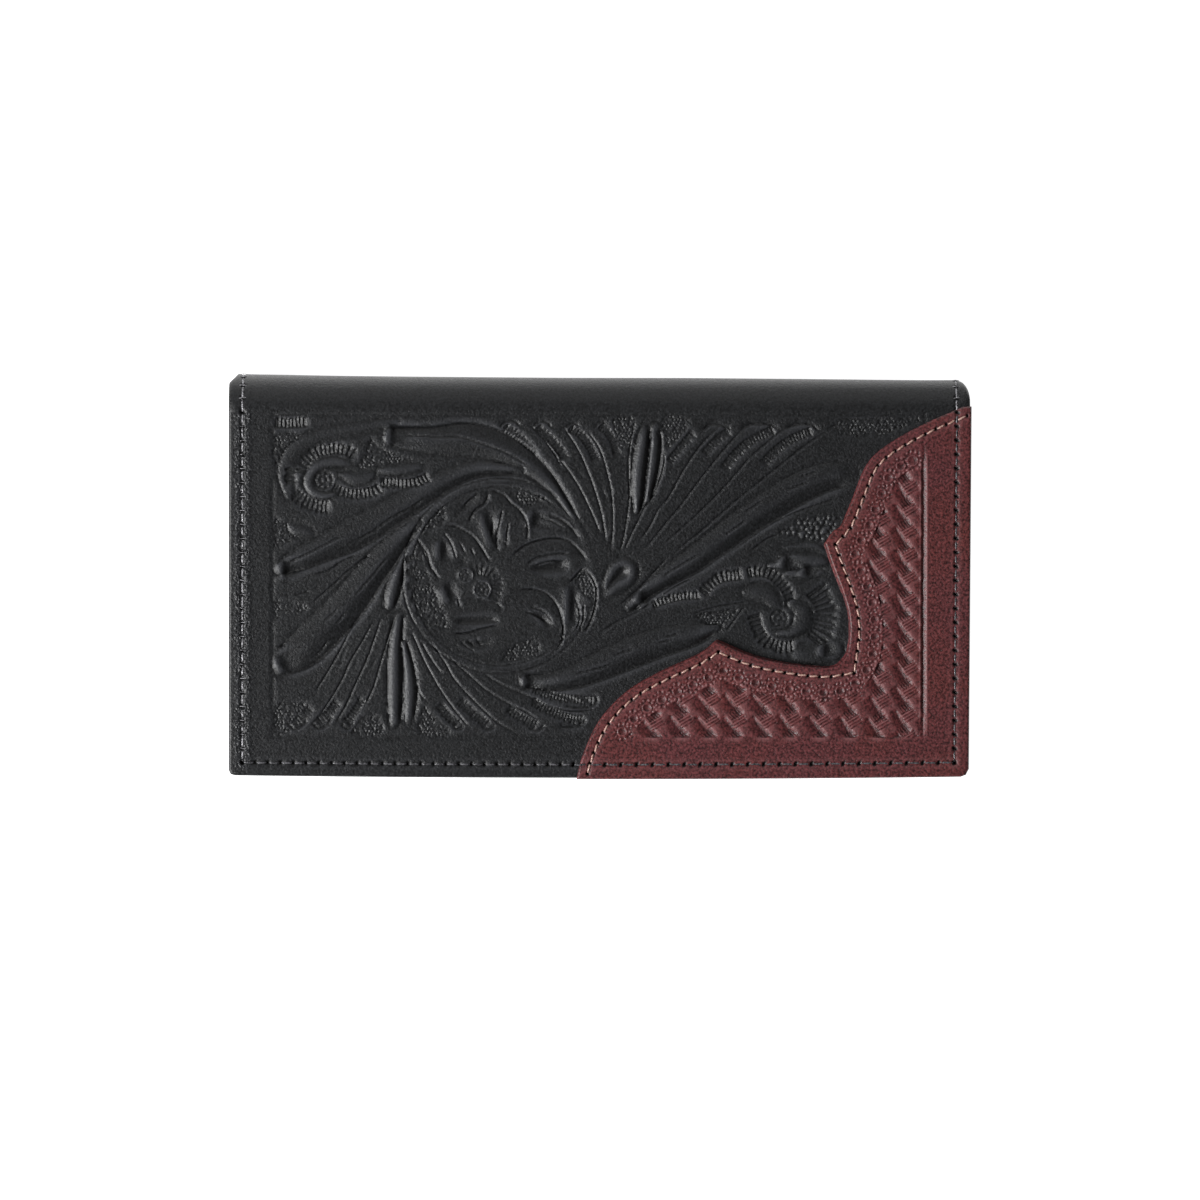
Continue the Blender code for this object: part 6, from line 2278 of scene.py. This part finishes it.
@dataclass
class Zip:
    """The zip of the coin pocket: cast teeth in two rows that mesh, the slider and its forked pull."""

    stitching: Stitching
    line_y: float = 27.5022
    chain_z: float = 12.9
    slider_x: float = 67.75
    pin_z: float = 10.3
    tooth_reach: float = 1.6
    teeth: int = 58

    def tooth(self) -> Piece:
        """Makes one tooth: a waisted block that grips the tape, with a rounded head.

        Returns:
            The tooth, its head towards y.
        """
        rings = [(-1.15, 0.5, 0.4), (-1.0, 0.66, 0.55), (-0.1, 0.7, 0.6), (0.35, 0.46, 0.5),
                 (0.85, 0.5, 0.52), (1.35, 0.6, 0.5), (1.75, 0.56, 0.4), (1.85, 0.4, 0.26)]
        ring = [(1, -0.55), (1, 0.55), (0.6, 1), (-0.6, 1), (-1, 0.55), (-1, -0.55), (-0.6, -1), (0.6, -1)]
        rows = [(wide * x, y, tall * z) for y, wide, tall in rings for x, z in ring]
        faces = tube_faces(len(rings), len(ring))
        return new_object("tooth_unit", np.array(rows), faces, ZIP_METAL.done(), 50.0)

    def chain(self, node: str, side: float) -> Piece:
        """Lays one row of teeth.

        Args:
            node: the model's row.
            side: 1 for the row at the fold's side and -1 for the other.

        Returns:
            The row.
        """
        low, high = (np.array(list(corner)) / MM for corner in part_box(node))
        first, last = low[0] + 0.7, high[0] - 0.7
        count, half = self.teeth, (last - first) / (self.teeth - 1) / 2
        if side < 0:
            first, last, count = last - half, first + half, count - 1
        along = np.column_stack([np.linspace(first, last, count),
                                 np.full(count, self.line_y + side * self.tooth_reach)])
        row = self.stitching.lay(f"{node}_cast", self.tooth(), *on_face(along, self.chain_z, -1.0), ZIP_METAL)
        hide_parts(node)
        return row

    def slider(self) -> Piece:
        """Makes the slider: two shield-shaped plates, their flanges, the wedge between them and the lug.

        Returns:
            The slider.
        """
        made = Casting()
        at = (self.slider_x, self.line_y, self.chain_z)
        half = [(4.4, 1.6), (3.9, 3.3), (2.4, 3.95), (-1.0, 3.8), (-3.5, 3.6), (-4.35, 2.7)]
        lower = [(u, -v) for u, v in reversed(half)]
        shield = smooth(half + [(-4.45, 0.0)] + lower + [(4.0, 0.0)], 4, True)[:-1]
        made.plate(shield, -1.6, -0.8, 0.22, at)
        made.plate(shield, 0.8, 1.6, 0.22, at)
        for low, high in ((-1.0, -0.3), (0.3, 1.0)):
            for way in (1, -1):
                flange = [(-4.1, 3.1), (3.3, 3.1), (3.4, 3.6), (2.4, 3.9), (-1.0, 3.75), (-3.5, 3.55),
                          (-4.1, 3.3)]
                made.plate([(u, way * v) for u, v in flange[::way]], low, high, 0.08, at)
        wedge = [(4.2, 0.0), (2.8, 0.3), (-1.0, 0.15), (-1.0, -0.15), (2.8, -0.3)]
        made.plate(wedge, -1.0, 1.0, 0.04, at)
        lug = arc((0, 0), 0.9, np.linspace(math.pi, 2 * math.pi, 13))
        lug += [(0.95, 0.5), (1.15, 1.15), (0.6, 1.2), (-0.6, 1.2), (-1.15, 1.15), (-0.95, 0.5)]
        pin = (self.slider_x, self.line_y, self.pin_z)
        made.plate(lug, -0.6, 0.6, 0.14, pin, (0.0, 0.0, 0.5), True)
        return made.cast("zip_slider_cast", "zip_slider")

    def pull(self) -> Piece:
        """Makes the pull: a waisted tab with a round eye, two arms and the cross pin in the lug.

        Returns:
            The pull.
        """
        made = Casting()
        at = (self.slider_x, self.line_y, self.pin_z)
        end = arc((-15, 0), 3, np.linspace(0.5 * math.pi, 1.5 * math.pi, 17))
        upper = [(-1.45, 1.5), (-1.6, 1.85), (-2.6, 1.95), (-3.5, 2.35), (-5.0, 2.5), (-8.0, 2.3),
                 (-11.5, 2.5)]
        tab = upper + end + [(u, -v) for u, v in reversed(upper)]
        made.plate(tab, -0.4, 0.4, 0.16, at, (-15.0, 0.0, 1.5))
        for way in (1, -1):
            arm = [(-2.0, 0.9), (0.45, 0.9), (0.7, 1.15), (0.7, 1.65), (0.4, 1.9), (-2.0, 1.9)]
            made.plate([(u, way * v) for u, v in arm[::way]], -0.4, 0.4, 0.12, at)
        pin = arc((0, 0), 0.3, np.linspace(0, 2 * math.pi, 17)[:-1])
        made.plate(pin, -1.4, 1.4, 0.04, at, None, True)
        for u in (-6.2, -7.4, -8.6, -9.8):
            bar = [(u - 0.28, -1.5), (u + 0.28, -1.5), (u + 0.28, 1.5), (u - 0.28, 1.5)]
            made.plate(bar, -0.52, 0.52, 0.1, at)
        return made.cast("zip_pull_cast", "zip_pull")

    def build(self) -> Pieces:
        """Makes the teeth, the slider and the pull.

        Returns:
            The pieces with their bodies.
        """
        return [(self.chain("zip_teeth_fold_side", 1.0), "front"),
                (self.chain("zip_teeth_edge_side", -1.0), "front"), (self.slider(), "slider"),
                (self.pull(), "pull")]


# The studio

@dataclass
class Studio:
    """A white table, soft light mostly from the left, and the camera straight above."""

    view_mm: float = 288.0
    distance: float = 2.4
    middle: Point = (0.0, -5.64)

    def light(self, name: str, place: tuple[float, float, float], size: float, power: float) -> None:
        """Hangs one soft square light that faces the wallet.

        Args:
            name: its name.
            place: where it hangs, in metres.
            size: its side, in metres.
            power: its power in watts.
        """
        lamp = bpy.data.lights.new(name, "AREA")
        lamp.size = size
        lamp.energy = power
        hung = bpy.data.objects.new(name, lamp)
        hung.location = place
        hung.rotation_euler = (-Vector(place)).to_track_quat("-Z", "Y").to_euler()
        bpy.context.scene.collection.objects.link(hung)

    def build(self) -> None:
        """Makes the floor, the lights, the world and the camera."""
        scene = bpy.context.scene
        self.light("key_left", (-1.05, -0.28, 0.74), 0.6, 24.0)
        self.light("fill_top", (0.1, 1.15, 0.8), 0.6, 2.5)
        world = bpy.data.worlds.new("room")
        world.use_nodes = True
        tree = world.node_tree
        tree.nodes.clear()
        path = add(tree, "ShaderNodeLightPath")
        room = add(tree, "ShaderNodeBackground", {"Color": (1, 1, 1, 1), "Strength": 0.085})
        white = add(tree, "ShaderNodeBackground", {"Color": (1, 1, 1, 1), "Strength": 1.0})
        mix = add(tree, "ShaderNodeMixShader", {0: path.outputs["Is Camera Ray"], 1: room, 2: white})
        add(tree, "ShaderNodeOutputWorld", {"Surface": mix})
        scene.world = world
        self.floor()
        camera = bpy.data.cameras.new("camera")
        camera.sensor_width = 36.0
        camera.lens = 36.0 * self.distance / (self.view_mm * MM)
        camera.clip_start, camera.clip_end = 0.1, 20.0
        eye = bpy.data.objects.new("camera", camera)
        eye.location = (self.middle[0] * MM, self.middle[1] * MM, self.distance + THICKNESS * MM)
        scene.collection.objects.link(eye)
        scene.camera = eye
        scene.view_settings.view_transform = "Standard"

    def floor(self) -> None:
        """Lays the white table top, which still takes a soft shadow."""
        made = bpy.data.materials.new("table_white_laminate")
        made.use_nodes = True
        tree = made.node_tree
        tree.nodes.clear()
        path = add(tree, "ShaderNodeLightPath").outputs
        rays = path["Is Camera Ray"]
        for kind in ("Is Glossy Ray", "Is Transmission Ray"):
            rays = add(tree, "ShaderNodeMath", {0: rays, 1: path[kind]}, operation="MAXIMUM")
        matt = add(tree, "ShaderNodeBsdfDiffuse", {"Color": (0.8, 0.8, 0.8, 1)})
        glow = add(tree, "ShaderNodeEmission", {"Color": (1, 1, 1, 1), "Strength": 0.95})
        both = add(tree, "ShaderNodeAddShader", {0: matt, 1: glow})
        mix = add(tree, "ShaderNodeMixShader", {0: rays, 1: matt, 2: both})
        add(tree, "ShaderNodeOutputMaterial", {"Surface": mix})
        half, level = 1500.0, -0.3
        corners = np.array([(x * half, y * half, level) for x, y in ((-1, -1), (1, -1), (1, 1), (-1, 1))])
        new_object("table_top", corners, [[0, 1, 2, 3]], made)


CARRIED = {
    "id_window_film": VINYL, "zip_top_stop_fold_side": ZIP_METAL, "zip_top_stop_edge_side": ZIP_METAL,
    "zip_bottom_stop": ZIP_METAL,
}


def dress_carried() -> None:
    """Gives every CAD piece that stays its finish."""
    for name, finish in CARRIED.items():
        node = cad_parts[name]
        if not node.material_slots:
            node.data.materials.append(None)
        for kept in node.material_slots:
            kept.material = finish.done()


def main() -> None:
    """Builds the wallet piece by piece and reports each one."""
    logging.basicConfig(level=logging.INFO, format="%(message)s")
    for finish in (BLACK_LEATHER, BROWN_LEATHER, INNER_LEATHER, LINING, ZIP_TAPE, BLACK_THREAD, FRAYED_THREAD,
                   TAN_THREAD, ZIP_METAL, VINYL):
        finish.make()
    stitching = Stitching()
    made = []
    for part in (Cover(Face.FRONT, stitching), Cover(Face.BACK, stitching, 0.25, 60000), Overlay(stitching)):
        made += part.build()
    for panel in (*PANELS, gusset()):
        made += panel.build(stitching)
    made += Zip(stitching).build()
    for piece, body in made:
        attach(piece, body)
        LOG.info("%s on %s: %d faces", piece.name, body, len(piece.data.polygons))
    for piece in Spine(stitching).build():
        LOG.info("%s bends: %d faces", piece.name, len(piece.data.polygons))
    dress_carried()
    Studio().build()


if __name__ == "__main__":
    main()
